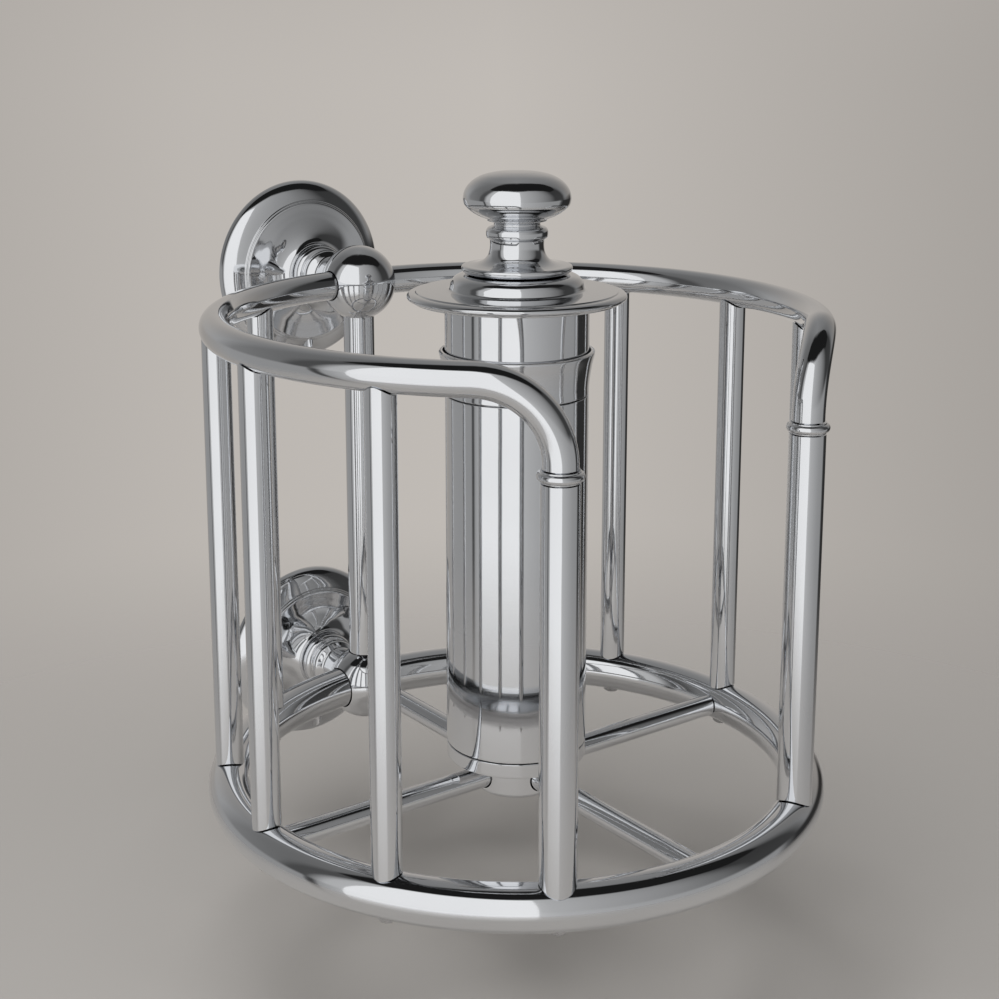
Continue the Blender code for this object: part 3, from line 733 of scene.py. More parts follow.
# %% [markdown]
# ### Cutting holes
#
# Holes could be left out, because a pin hides most of them, but the sockets and the sinks show.
# Cutting works on plain meshes: Boolean modifiers are added, evaluated once and thrown away, so
# nothing live is left on the piece. The solver trips where an edge of the cutter lies exactly in
# a face or a plane of symmetry of the piece, and leaves slivers or holes. So every cutter runs
# past the faces that it cuts, and is turned a little off the piece's grid, which a round bar
# doesn't show. What near points are left are then merged, and the open edges are counted.

# %% Cut one mesh with others
OFF_GRID = 0.0137
PAST = 0.002


def settled(holder):
    """A plain mesh of what an object's modifiers make of it."""
    depsgraph = bpy.context.evaluated_depsgraph_get()
    return bpy.data.meshes.new_from_object(holder.evaluated_get(depsgraph))


def cut(mesh, *cutters):
    """The mesh with the cutters' space taken out of it."""
    objects = bpy.context.scene.collection.objects
    name = mesh.name
    holder = bpy.data.objects.new(name, mesh)
    objects.link(holder)
    tools = [bpy.data.objects.new("cutter", cutter) for cutter in cutters]
    for tool in tools:
        objects.link(tool)
        modifier = holder.modifiers.new("cut", "BOOLEAN")
        modifier.operation, modifier.solver, modifier.object = "DIFFERENCE", "EXACT", tool
    result = settled(holder)
    for item in (holder, *tools):
        bpy.data.objects.remove(item, do_unlink=True)
    mesh.name = "uncut"
    result.name = name
    shape = bmesh.new()
    shape.from_mesh(result)
    bmesh.ops.remove_doubles(shape, verts=shape.verts, dist=WELD)
    bmesh.ops.dissolve_degenerate(shape, edges=shape.edges, dist=WELD)
    open_edges = sum(not edge.is_manifold for edge in shape.edges)
    print(f"{name}: cut {len(cutters)} times, {open_edges} open edges")
    shape.to_mesh(result)
    shape.free()
    return result


# %% [markdown]
# ## Geometry Nodes for what follows a rule
#
# The rail, the bars, the rods and the ring's screws all follow rules: an angle and a step say
# where each one stands. A Geometry Nodes tree holds such a rule with named inputs, so another
# count or spacing is one number. Export keeps only real meshes, so every tree ends in Realize
# Instances and Set Material, and its result is copied into a plain mesh before it joins the frame.

# %% Begin a tree, end it and run it
def new_tree(name, sizes, others=()):
    """An empty tree with named inputs, and what flows from each of them, by name."""
    tree = bpy.data.node_groups.new(name, "GeometryNodeTree")
    for label, value in sizes.items():
        kind = "NodeSocketInt" if isinstance(value, int) else "NodeSocketFloat"
        tree.interface.new_socket(label, in_out="INPUT", socket_type=kind).default_value = value
    for label, kind in (*others, ("Finish", "NodeSocketMaterial")):
        tree.interface.new_socket(label, in_out="INPUT", socket_type=kind)
    tree.interface.new_socket("Geometry", in_out="OUTPUT", socket_type="NodeSocketGeometry")
    sockets = add_node(tree, "NodeGroupInput").outputs
    return tree, {socket.name: Flow(tree, socket) for socket in sockets}


def realized(geometry):
    return flow(geometry.tree, "GeometryNodeRealizeInstances", {"Geometry": geometry})


def end_tree(geometry, given):
    inputs = {"Geometry": realized(geometry), "Material": given["Finish"]}
    coated = flow(geometry.tree, "GeometryNodeSetMaterial", inputs)
    add_node(geometry.tree, "NodeGroupOutput", {"Geometry": coated})


def grow(name, tree, **inputs):
    """Runs a tree once and returns its result as a plain mesh."""
    holder = bpy.data.objects.new(name, bpy.data.meshes.new(name))
    modifier = holder.modifiers.new(name, "NODES")
    modifier.node_group = tree
    for socket in tree.interface.items_tree:
        key = socket.name.lower().replace(" ", "_")
        if socket.in_out == "INPUT" and key in inputs:
            modifier[socket.identifier] = inputs[key]
    bpy.context.scene.collection.objects.link(holder)
    mesh = settled(holder)
    bpy.data.objects.remove(holder, do_unlink=True)
    mesh.name = name
    print(f"{name}: grown with {len(mesh.polygons)} faces")
    return mesh


# %% Steps that the trees share
def moved(geometry, offset):
    inputs = {"Geometry": geometry, "Translation": offset}
    return flow(geometry.tree, "GeometryNodeTransform", inputs)


def reshaped(geometry, place, **others):
    """Moves each point of a geometry to its new place."""
    inputs = {"Geometry": geometry, "Position": place, **others}
    return flow(geometry.tree, "GeometryNodeSetPosition", inputs)


def stations(tree, given):
    """Points in pairs on the cage's circle, either side of the open front, and their angles."""
    cage = given["Cage Radius"]
    index = flow(tree, "GeometryNodeInputIndex")
    pair = (index / 2.0).do("FLOOR")
    side = 1.0 - index.do("MODULO", 2.0) * 2.0
    angle = side * (pair * given["Step"] + given["First Angle"])
    spot = combined(tree, cage * angle.do("SINE"), cage * angle.do("COSINE") * -1.0)
    points = flow(tree, "GeometryNodePoints", {"Count": given["Pairs"] * 2.0, "Position": spot})
    return points, angle


def set_out(points, shape, angle):
    """Stands a copy of the shape on each point, turned by the point's angle."""
    turn = combined(points.tree, z=angle)
    inputs = {"Points": points, "Instance": shape, "Rotation": turn}
    return flow(points.tree, "GeometryNodeInstanceOnPoints", inputs)


def round_rod(given, radius, length):
    """A round rod with closed ends, standing about the middle."""
    inputs = {"Vertices": given["Sides"], "Radius": radius, "Depth": length}
    return flow(length.tree, "GeometryNodeMeshCylinder", inputs, fill_type="TRIANGLE_FAN")


def saddle(offset, radius):
    """How far a round bar of that radius stands out at an offset from its middle line."""
    return (radius * radius - offset * offset).do("MAXIMUM", 0.0).do("SQRT")


# %% [markdown]
# ### The hoop rail
#
# On the real holder the rail is one length of round bar. It was rolled to a circle, and its ends
# were then bent down on the same drum, so the bends lie on the cage's cylinder. A curve drawn by
# hand could follow that, but a rule does it exactly. The rule in the tree is the path: with the
# distance along the bar from the middle of the back, first the angle grows, then the lean of the
# bend takes over, then the bar runs straight down.

# %% Sizes of the cage
CAGE_RADIUS = 0.080
RAIL_RADIUS = 0.00425
RING_RADIUS = 0.0060
POST_RADIUS = 0.0047
BAR_RADIUS = 0.00385
BEND_RADIUS = 0.020
RAIL_TAIL = 0.0005
SPIGOT_RADIUS = 0.0025
SPIGOT_LENGTH = 0.008
COLLAR_RADIUS = 0.0056
COLLAR_HEIGHT = 0.0028
GAP = 0.0003
POST_ANGLE = math.radians(30)
BAR_STEP = math.radians(30)
COLLAR_TOP = -(BEND_RADIUS + RAIL_TAIL + GAP)
POST_TOP = COLLAR_TOP - COLLAR_HEIGHT - GAP
SPIGOT_TIP = POST_TOP - SPIGOT_LENGTH
print("below the rail's middle: posts from", mm(-POST_TOP), "spigots to", mm(-SPIGOT_TIP), "mm")

# %% The rail's tree
RAIL_SIZES = {"Cage Radius": CAGE_RADIUS, "Bend Radius": BEND_RADIUS, "Post Angle": POST_ANGLE,
              "Tail": RAIL_TAIL, "Bar Radius": RAIL_RADIUS, "Steps": 520, "Sides": 56}


def rail_tree():
    tree, given = new_tree("bent_hoop", RAIL_SIZES)
    bend, cage = given["Bend Radius"], given["Cage Radius"]
    level_arc = cage * (math.pi - given["Post Angle"]) - bend
    bend_arc = bend * QUARTER
    reach = level_arc + bend_arc + given["Tail"]
    share = flow(tree, "GeometryNodeInputIndex") / (given["Steps"] - 1.0) * 2.0 - 1.0
    distance = reach * share.do("ABSOLUTE")
    over = distance - level_arc
    lean = (over / bend).do("MAXIMUM", 0.0).do("MINIMUM", QUARTER)
    tail = (over - bend_arc).do("MAXIMUM", 0.0)
    run = distance.do("MINIMUM", level_arc) + bend * lean.do("SINE")
    angle = run / cage * share.do("SIGN")
    drop = bend * (lean.do("COSINE") - 1.0)
    place = combined(tree, cage * angle.do("SINE"), cage * angle.do("COSINE"), drop - tail)
    line = flow(tree, "GeometryNodeMeshLine", {"Count": given["Steps"]})
    path = flow(tree, "GeometryNodeMeshToCurve", {"Mesh": reshaped(line, place)})
    section = flow(tree, "GeometryNodeCurvePrimitiveCircle",
                   {"Resolution": given["Sides"], "Radius": given["Bar Radius"]})
    bar = flow(tree, "GeometryNodeCurveToMesh",
               {"Curve": path, "Profile Curve": section, "Fill Caps": True})
    end_tree(moved(bar, AXIS), given)
    return tree


hoop_mesh = grow("top_rail", rail_tree(), finish=chrome["hoop"])

# %% [markdown]
# ### Bars, posts and spigots
#
# An upright is a round bar stood on a circle. The thin bars and the two front posts differ only
# in radius, height and number, so one tree makes them all, and the rail's two spigots as well.
# Where a bar meets the ring or the rail, a fitter files its end to a saddle that lies on the
# round bar. Cutting it would work too, but in the tree each end vertex simply moves to the ring's
# surface: its distance from the cage's circle gives the height.

# %% The uprights' tree
UPRIGHT_SIZES = {"Pairs": 4, "First Angle": 2 * BAR_STEP, "Step": BAR_STEP,
                 "Cage Radius": CAGE_RADIUS, "Bar Radius": BAR_RADIUS, "Low": RING_LEVEL,
                 "High": 0.0, "Low Saddle": RING_RADIUS + GAP, "High Saddle": RAIL_RADIUS + GAP,
                 "Sides": 64}


def uprights_tree():
    tree, given = new_tree("coped_uprights", UPRIGHT_SIZES)
    points, angle = stations(tree, given)
    middle = (given["High"] + given["Low"]) * 0.5
    bar = round_rod(given, given["Bar Radius"], given["High"] - given["Low"])
    real = realized(set_out(points, moved(bar, combined(tree, z=middle)), angle))
    x, y, z = parted(flow(tree, "GeometryNodeInputPosition"))
    offset = (x * x + y * y).do("SQRT") - given["Cage Radius"]
    low = given["Low"] + saddle(offset, given["Low Saddle"])
    high = given["High"] - saddle(offset, given["High Saddle"])
    height = z.do("GREATER_THAN", middle) * (high - low) + low
    end_tree(moved(reshaped(real, combined(tree, x, y, height)), AXIS), given)
    return tree


uprights = uprights_tree()
print("uprights:", len(uprights.nodes), "nodes")

# %% Bars and posts
BAR_NODES = [f"{side}_bar_{number}" for side in ("left", "right") for number in range(1, 5)]
POST_NODES = ["front_post_left", "front_post_right"]
bars_mesh = grow("cage_bars", uprights, finish=chrome["upright"])
add_piece(bars_mesh, chrome["upright"], BAR_NODES)
posts_mesh = grow("front_posts", uprights, finish=chrome["upright"], pairs=1,
                  first_angle=POST_ANGLE, bar_radius=POST_RADIUS, high=POST_TOP, high_saddle=0.0)
add_piece(posts_mesh, chrome["upright"], POST_NODES)


# %% Spigots at the rail's ends
def joined(name, *meshes):
    shape = bmesh.new()
    for mesh in meshes:
        shape.from_mesh(mesh)
    return mesh_from(shape, name)


spigots = grow("spigots", uprights, pairs=1, first_angle=POST_ANGLE, bar_radius=SPIGOT_RADIUS,
               low=SPIGOT_TIP, high=-BEND_RADIUS, low_saddle=0.0, high_saddle=0.0, sides=32)
rail_mesh = joined("top_rail", hoop_mesh, spigots)
add_piece(rail_mesh, chrome["hoop"], ["top_rail"])

# %% [markdown]
# ### Anything at each upright
#
# A screw comes up through the ring into each bar and post, so ten screws, ten holes and ten
# sinks share the uprights' places. Each could be placed by its own numbers, but then they could
# drift apart. This tree takes any object and sets a copy at each station. It serves for the
# collars, the screws, and the shapes that cut their room out of the ring.

# %% A tree that repeats an object at the stations
STATION_SIZES = {"Pairs": 5, "First Angle": POST_ANGLE, "Step": BAR_STEP,
                 "Cage Radius": CAGE_RADIUS}


def repeat_tree():
    tree, given = new_tree("at_each_upright", STATION_SIZES, (("Object", "NodeSocketObject"),))
    points, angle = stations(tree, given)
    pattern = flow(tree, "GeometryNodeObjectInfo", {"Object": given["Object"]}, "Geometry")
    end_tree(moved(set_out(points, pattern, angle), AXIS), given)
    return tree


at_each_upright = repeat_tree()
print("stations:", len(at_each_upright.nodes), "nodes")


def repeated(name, mesh, finish=None, pairs=5):
    pattern = bpy.data.objects.new(name + "_pattern", mesh)
    bpy.context.scene.collection.objects.link(pattern)
    result = grow(name, at_each_upright, object=pattern, finish=finish, pairs=pairs)
    bpy.data.objects.remove(pattern, do_unlink=True)
    return result


# %% [markdown]
# ### Collars
#
# A slim bead covers each joint where the rail's end meets its post. It is a turned ring on the
# rail's spigot. A half circle would look like a bead on a string. So its belly is a run of close
# points, fuller than that, and a short neck above and below sets it off from the bars.

# %% Collars: the beads where the rail's ends meet the posts
BEAD = [(0.845, 0.87), (0.890, 0.855), (0.950, 0.77), (0.990, 0.62), (1.000, 0.50),
        (0.990, 0.38), (0.950, 0.23), (0.890, 0.145), (0.845, 0.13)]
COLLAR_ROUND = 0.00010
collar_bore = SPIGOT_RADIUS + GAP
collar_low = COLLAR_TOP - COLLAR_HEIGHT
collar_items = [(collar_bore, COLLAR_TOP), (POST_RADIUS, COLLAR_TOP),
                shares(BEAD, COLLAR_RADIUS, COLLAR_HEIGHT, collar_low),
                (POST_RADIUS, collar_low), (collar_bore, collar_low)]
collar = lathe("collar", collar_items, SLIM_FACETS, COLLAR_ROUND)
add_piece(repeated("collars", collar, chrome["upright"], 1), chrome["upright"],
          ["collar_left", "collar_right"])

# %% [markdown]
# ### Socket screws
#
# The screws have domed heads with a hexagon socket. A picture of a socket would look flat from
# close by. So the head is turned first, and the socket is then cut with a six-sided bar, as a
# broach does it. The socket is about half as deep as it is wide.

# %% How a socket screw is made
HEAD = [(0.0, 1.0), (0.35, 0.985), (0.65, 0.90), (0.88, 0.66), (0.985, 0.30), (1.0, 0.0)]
SOCKET_SHARE = 0.45
SOCKET_ROOF = 0.25
SCREW_ROUND = 0.00008


def hexagon_bar(radius, low, high, place=(0, 0, 0)):
    shape = bmesh.new()
    bmesh.ops.create_cone(shape, cap_ends=True, segments=6, radius1=radius, radius2=radius,
                          depth=high - low)
    shape.transform(Matrix.Translation(Vector(place) + Vector((0, 0, (low + high) / 2))))
    return mesh_from(shape, "hexagon")


def socket_screw(name, radius, tip, head_radius, head_height, seat, place=(0, 0, 0)):
    """A screw that points up. Its head hangs below the seat, with a hexagon socket in it."""
    dome = [(head_radius * across, seat - head_height * up) for across, up in HEAD]
    items = [dome, (radius, seat), (radius, tip - radius / 2), (radius / 2, tip), (0, tip)]
    body = lathe(name, items, SCREW_FACETS, SCREW_ROUND, place)
    return cut(body, hexagon_bar(SOCKET_SHARE * head_radius, seat - 2 * head_height,
                                 seat - SOCKET_ROOF * head_height, place))


# %% Screws under the ring
SCREW_RADIUS = 0.0016
SCREW_HEAD_RADIUS = 0.00275
SCREW_HEAD_HEIGHT = 0.0020
SINK_DEPTH = 0.0013
SCREW_GRIP = 0.010
SCREW_SEAT = RING_LEVEL - RING_RADIUS + SINK_DEPTH
SCREW_TIP = RING_LEVEL + RING_RADIUS + SCREW_GRIP
SCREW_NODES = [node + "_screw" for node in (*BAR_NODES, *POST_NODES)]
ring_screw = socket_screw("ring_screw", SCREW_RADIUS, SCREW_TIP, SCREW_HEAD_RADIUS,
                          SCREW_HEAD_HEIGHT, SCREW_SEAT - GAP)
add_piece(repeated("ring_screws", ring_screw, steel["upright"]), steel["upright"],
          SCREW_NODES)

# %% [markdown]
# ### The bottom ring
#
# The ring is a full circle of heavier bar. Its screw holes are cut with the same tree that sets
# the screws, so holes and screws can't drift apart. The eleventh hole, at the back, is for the
# headless screw that holds the ball and the back post.

# %% Shapes of round bar
RING_FACETS = 320
RING_SIDES = 56


def round_bar(name, radius, place, twist=0.0):
    """A full circle of round bar about the cage's axis."""
    turns = [2 * math.pi * (side + twist) / RING_SIDES for side in range(RING_SIDES)]
    section = [(CAGE_RADIUS + radius * math.cos(turn), radius * math.sin(turn)) for turn in turns]
    return lathe(name, section, RING_FACETS, 0.0, place)


def plain_rod(name, radius, low, high, place=(0, 0, 0), facets=SCREW_FACETS):
    rod = lathe(name, [(0, low), (radius, low), (radius, high), (0, high)], facets, 0.0)
    rod.transform(Matrix.Translation(place) @ Matrix.Rotation(OFF_GRID, 4, "Z"))
    return rod


# %% Ring with its screw holes
CUTTER_DROP = 0.0135
UNDER = RING_LEVEL - CUTTER_DROP
BACK = (0, CAGE_Y + CAGE_RADIUS, 0)
hole = plain_rod("hole", SCREW_RADIUS + GAP, SCREW_SEAT - WELD, SCREW_TIP + PAST)
sink = plain_rod("sink", SCREW_HEAD_RADIUS + GAP, UNDER, SCREW_SEAT)
back_hole = plain_rod("back_hole", SCREW_RADIUS + GAP, UNDER, SCREW_TIP + PAST, BACK)
ring_mesh = round_bar("bottom_ring", RING_RADIUS, (0, CAGE_Y, RING_LEVEL))
ring_mesh = cut(ring_mesh, repeated("holes", hole), repeated("sinks", sink), back_hole)
add_piece(ring_mesh, chrome["hoop"], ["bottom_ring"])

# %% [markdown]
# ### The cross of rods
#
# Four rods lie in a cross and carry the hub. Their outer ends are saddled against the ring, and
# the back one against the ball behind the ring. Four rods placed by hand would do, but one tree
# keeps them alike: it lays a rod along X, turns it to each quarter, and moves the outer vertices
# onto the ring's inner side or the ball's.

# %% Sizes of the cross
ROD_RADIUS = 0.0031
HUB_SCREW_RADIUS = 0.0023
HUB_WEB = 0.0017
ROD_START = HUB_SCREW_RADIUS + GAP + HUB_WEB + GAP
BALL_RADIUS = 0.01135
NEVER_ZERO = 0.001
CROSS_SIZES = {"Rods": 4, "Rod Radius": ROD_RADIUS, "Start": ROD_START,
               "Cage Radius": CAGE_RADIUS, "Ring Space": RING_RADIUS + GAP,
               "Ball Space": BALL_RADIUS + GAP, "Sides": 48}
print("rods start", mm(ROD_START), "mm from the axis")


# %% The rods' tree
def cross_tree():
    tree, given = new_tree("cross_of_rods", CROSS_SIZES)
    cage, start = given["Cage Radius"], given["Start"]
    angle = flow(tree, "GeometryNodeInputIndex") * (2 * math.pi / given["Rods"])
    points = flow(tree, "GeometryNodePoints", {"Count": given["Rods"]})
    middle = (cage + start) * 0.5
    rod = round_rod(given, given["Rod Radius"], cage - start)
    laid = flow(tree, "GeometryNodeTransform", {
        "Geometry": rod, "Rotation": (0, QUARTER, 0), "Translation": combined(tree, middle)})
    real = realized(set_out(points, laid, angle))
    x, y, z = parted(flow(tree, "GeometryNodeInputPosition"))
    xx, yy, zz = x * x, y * y, z * z
    aside, ahead = xx.do("MINIMUM", yy), xx.do("MAXIMUM", yy)
    ring_end = cage - saddle(z, given["Ring Space"])
    ring_line = (ring_end * ring_end - aside).do("SQRT")
    ball_line = cage - saddle((aside + zz).do("SQRT"), given["Ball Space"])
    end = y.do("GREATER_THAN", middle) * (ball_line - ring_line) + ring_line
    grown = end / ahead.do("SQRT").do("MAXIMUM", NEVER_ZERO) - 1.0
    along_x = xx.do("GREATER_THAN", yy)
    place = combined(tree, x * (along_x * grown + 1.0), y * ((1.0 - along_x) * grown + 1.0), z)
    outer = (xx + yy).do("SQRT").do("GREATER_THAN", middle)
    end_tree(moved(reshaped(real, place, Selection=outer), (0, CAGE_Y, RING_LEVEL)), given)
    return tree


rods_mesh = grow("cross_rods", cross_tree(), finish=chrome["hoop"])
add_piece(rods_mesh, chrome["hoop"],
          ["front_rod", "back_rod", "left_rod", "right_rod"])

# %% [markdown]
# ### Hub and its screw
#
# The hub is a short drum with soft shoulders. The rods are pushed into bores round it, and one
# screw from below goes up through it into the arbor's foot. It is turned in one piece, with its
# shoulders as short runs, and the four bores are cut with a rod that is turned to each quarter.

# %% Hub
HUB_RADIUS = 0.0115
HUB_TOP = 0.0046
HUB_BOTTOM = 0.0052
HUB_SHOULDER = 0.0008
HUB_PLACE = (0, CAGE_Y, RING_LEVEL)
hub_bore = HUB_SCREW_RADIUS + GAP


def shoulder(face, way):
    """The soft edge from a face of the hub to its side. The way is 1 for up and -1 for down."""
    return [(HUB_RADIUS - hub_bore, face),
            (HUB_RADIUS - HUB_SHOULDER, face + way * HUB_SHOULDER / 2),
            (HUB_RADIUS, face + way * hub_bore / 2)]


def lying_bore(angle):
    rod = plain_rod("rod_bore", ROD_RADIUS + GAP, ROD_START - GAP, HUB_RADIUS + PAST)
    rod.transform(Matrix.Translation(HUB_PLACE) @ Matrix.Rotation(angle, 4, "Z")
                  @ Matrix.Rotation(QUARTER, 4, "Y"))
    return rod


hub_items = [(hub_bore, HUB_TOP), shoulder(HUB_TOP, -1), shoulder(-HUB_BOTTOM, 1)[::-1],
             (hub_bore, -HUB_BOTTOM)]
hub_mesh = lathe("hub", hub_items, place=HUB_PLACE)
hub_mesh = cut(hub_mesh, *[lying_bore(quarter * QUARTER) for quarter in range(4)])
add_piece(hub_mesh, chrome["arbor"], ["hub"])

# %% Hub screw
HUB_SCREW_HEAD_RADIUS = 0.0045
HUB_SCREW_HEAD_HEIGHT = 0.0026
HUB_SCREW_GRIP = 0.0080
FOOT_LEVEL = RING_LEVEL + HUB_TOP + GAP
hub_screw = socket_screw("hub_screw", HUB_SCREW_RADIUS, FOOT_LEVEL + HUB_SCREW_GRIP,
                         HUB_SCREW_HEAD_RADIUS, HUB_SCREW_HEAD_HEIGHT,
                         RING_LEVEL - HUB_BOTTOM - GAP, AXIS)
add_piece(hub_screw, steel["arbor"], ["hub_screw"])

# %% [markdown]
# ## The two mounts
#
# Each mount is a row of turned pieces on one axis: a wall plate, a stepped rosette over it, a
# beaded arm, and a ball. The upper one holds the rail and the lower one the ring, so one helper
# for each piece makes both, with the level and the radius of the bar that the mount holds.

# %% Sizes of the mounts
STANDOFF = 0.0360
ROSETTE_RADIUS = 0.0284
ROSETTE_HEIGHT = 0.0113
PLATE_RADIUS = 0.017
PLATE_THICKNESS = 0.0024
BOSS_RADIUS = 0.0080
BOSS_HEIGHT = 0.0076
REAR_STUD_RADIUS = 0.0040
FRONT_STUD_RADIUS = 0.0035
MOUNTS = {"upper": (0.0, RAIL_RADIUS), "lower": (RING_LEVEL, RING_RADIUS)}
print("mounts at", [mm(level) for level, _ in MOUNTS.values()], "mm")

# %% [markdown]
# ### Wall plates
#
# A wall plate is a turned disc with a boss, and with two countersunk holes that it hangs from.
# Each hole could be drilled and then sunk by two cutters. One turned cutter does both: a cone
# that is narrow at the flat back, where a shank goes, and wide at the face, where a head sinks in.

# %% Wall plates: turned discs with two countersunk holes and a boss
COUNTERSINK = [(0, -0.0006), (0.0017, -0.0006), (0.00438, 0.002616), (0, 0.002616)]
PLATE_HOLE_OUT = 0.0125


def wall_plate(which, level):
    items = [(0, 0), (PLATE_RADIUS, 0), (PLATE_RADIUS, PLATE_THICKNESS),
             (BOSS_RADIUS, PLATE_THICKNESS), (BOSS_RADIUS, BOSS_HEIGHT), (0, BOSS_HEIGHT)]
    plate = lathe(which + "_wall_plate", items, place=(0, 0, level), facing_room=True)
    places = [(side * PLATE_HOLE_OUT, 0, level) for side in (-1, 1)]
    return cut(plate, *[lathe("plate_hole", COUNTERSINK, SINK_FACETS, 0.0, place, True)
                        for place in places])


for which, (level, _) in MOUNTS.items():
    add_piece(wall_plate(which, level), steel[which], [which + "_wall_plate"])

# %% [markdown]
# ### Rosettes
#
# The rosette covers the plate. Its outline was read from the photograph: a straight rim that
# rounds over into a dome, a fine double step, and a bell that rises to the arm. The bell and the
# dome are runs, and the step stays a row of corners, because the picture shows two crisp lines
# there. Behind, it is hollowed out for the plate and its boss.

# %% Rosettes
BELL = [(0.325, 1.000), (0.328, 0.962), (0.343, 0.900), (0.382, 0.822), (0.450, 0.742),
        (0.550, 0.680), (0.660, 0.645), (0.752, 0.622)]
STEPS = [(0.766, 0.606), (0.772, 0.566), (0.786, 0.556), (0.792, 0.520)]
DOME = [(0.806, 0.506), (0.850, 0.458), (0.894, 0.402), (0.930, 0.345), (0.962, 0.278),
        (0.984, 0.208), (0.996, 0.130), (1.000, 0.060)]
GRUB_RADIUS = 0.0012
GRUB_OUT = (PLATE_THICKNESS + BOSS_HEIGHT) / 2


def rosette(which, level):
    cavity, socket, stud = PLATE_RADIUS + GAP, BOSS_RADIUS + GAP, REAR_STUD_RADIUS + GAP
    bell, steps, dome = [shares(run, ROSETTE_RADIUS, ROSETTE_HEIGHT) for run in (BELL, STEPS, DOME)]
    items = [bell, *steps, dome, (ROSETTE_RADIUS, 0), (cavity, 0), (cavity, PLATE_THICKNESS + GAP),
             (socket, PLATE_THICKNESS + GAP), (socket, BOSS_HEIGHT + GAP),
             (stud, BOSS_HEIGHT + GAP), (stud, ROSETTE_HEIGHT)]
    cover = lathe(which + "_rosette", items, WIDE_FACETS, EDGE_ROUND, (0, 0, level), True)
    hole = plain_rod("grub_hole", GRUB_RADIUS + GAP, -ROSETTE_RADIUS - PAST, -BOSS_RADIUS + GAP,
                     (0, -GRUB_OUT, level))
    return cut(cover, hole)


for which, (level, _) in MOUNTS.items():
    add_piece(rosette(which, level), chrome[which], [which + "_rosette"])

# %% [markdown]
# ### Grub screws
#
# A grub screw has no head. It goes up through the rosette's rim and presses on the boss, so the
# cover can't slip off. It is a short rod with a socket cut into its lower end. The same helper
# makes the longer headless screw at the back of the ring.

# %% Grub screws that lock the rosettes from below
GRUB_LENGTH = 0.0085
FINE_ROUND = 0.00012
SMALL_SOCKET = 0.0008
SMALL_SOCKET_DEPTH = 0.0025


def headless_screw(name, radius, low, high, place):
    body = lathe(name, [(0, low), (radius, low), (radius, high), (0, high)], SCREW_FACETS,
                 FINE_ROUND, place)
    return cut(body, hexagon_bar(SMALL_SOCKET, low - PAST / 2, low + SMALL_SOCKET_DEPTH, place))


for which, (level, _) in MOUNTS.items():
    grub = headless_screw(which + "_rosette_screw", GRUB_RADIUS,
                          -(BOSS_RADIUS + GAP + GRUB_LENGTH), -(BOSS_RADIUS + GAP),
                          (0, -GRUB_OUT, level))
    add_piece(grub, steel["upright"], [which + "_rosette_screw"])

# %% [markdown]
# ### Arms
#
# The arm is turned from one bar: a thick bead at the rosette, a thinner ring, and a plain neck
# that ends in a hollow, which lies on the ball. A stud at each end goes into the boss and into
# the ball. Plain half circles would look too round, so the runs of the beads were read from the
# photograph, where they are blunter.

# %% Arms with their beads
ARM_BEAD_RADIUS = 0.0090
ARM_RING_RADIUS = 0.0079
ARM_NECK_RADIUS = 0.0058
REAR_BEAD = [(0.94, 0.00), (0.985, 0.05), (1.00, 0.12), (0.985, 0.19), (0.92, 0.25), (0.83, 0.27)]
MIDDLE_RING = [(0.90, 0.29), (0.97, 0.33), (1.00, 0.40), (0.97, 0.47), (0.90, 0.51)]
THROAT = [(0.0066, 0.54), (0.0060, 0.58), (ARM_NECK_RADIUS, 0.66)]


def on_ball(radius):
    """How far out along the arm the ball's seat lies, at a radius from the arm's axis."""
    return STANDOFF - math.sqrt((BALL_RADIUS + GAP) ** 2 - radius ** 2)


def arm(which, level, held_radius):
    base = ROSETTE_HEIGHT + GAP
    reach = on_ball(ARM_NECK_RADIUS) - base
    rear, front = BOSS_HEIGHT + 2 * GAP, STANDOFF - held_radius - 2 * GAP
    radii = (ARM_NECK_RADIUS, (ARM_NECK_RADIUS + FRONT_STUD_RADIUS) / 2, FRONT_STUD_RADIUS)
    hollow = [(radius, on_ball(radius)) for radius in radii]
    items = [(0, rear), (REAR_STUD_RADIUS, rear), (REAR_STUD_RADIUS, base),
             shares(REAR_BEAD, ARM_BEAD_RADIUS, reach, base),
             shares(MIDDLE_RING, ARM_RING_RADIUS, reach, base),
             [*shares(THROAT, 1.0, reach, base), hollow[0]], hollow,
             (FRONT_STUD_RADIUS, front), (0, front)]
    return lathe(which + "_arm", items, LATHE_FACETS, FINE_ROUND, (0, 0, level), True)


for which, (level, held) in MOUNTS.items():
    add_piece(arm(which, level, held), chrome[which], [which + "_arm"])

# %% [markdown]
# ### Balls
#
# The ball joins the mount to the cage. It is bored three ways, for the rail or the ring, for the
# back post and for the arm's stud. The cutter for the bar is the whole circle of bar, a gap
# wider, so the bore bends as the bar does. Its section is twisted by part of a side, which keeps
# its edges off the ball's middle plane. A thin web stays between the bores.

# %% Balls, bored for the bar, the back post and the stud
BALL_STEPS = 56
BALL_WEB = 0.0010
BAR_TWIST = 0.37
STUD_BORE = 0.014


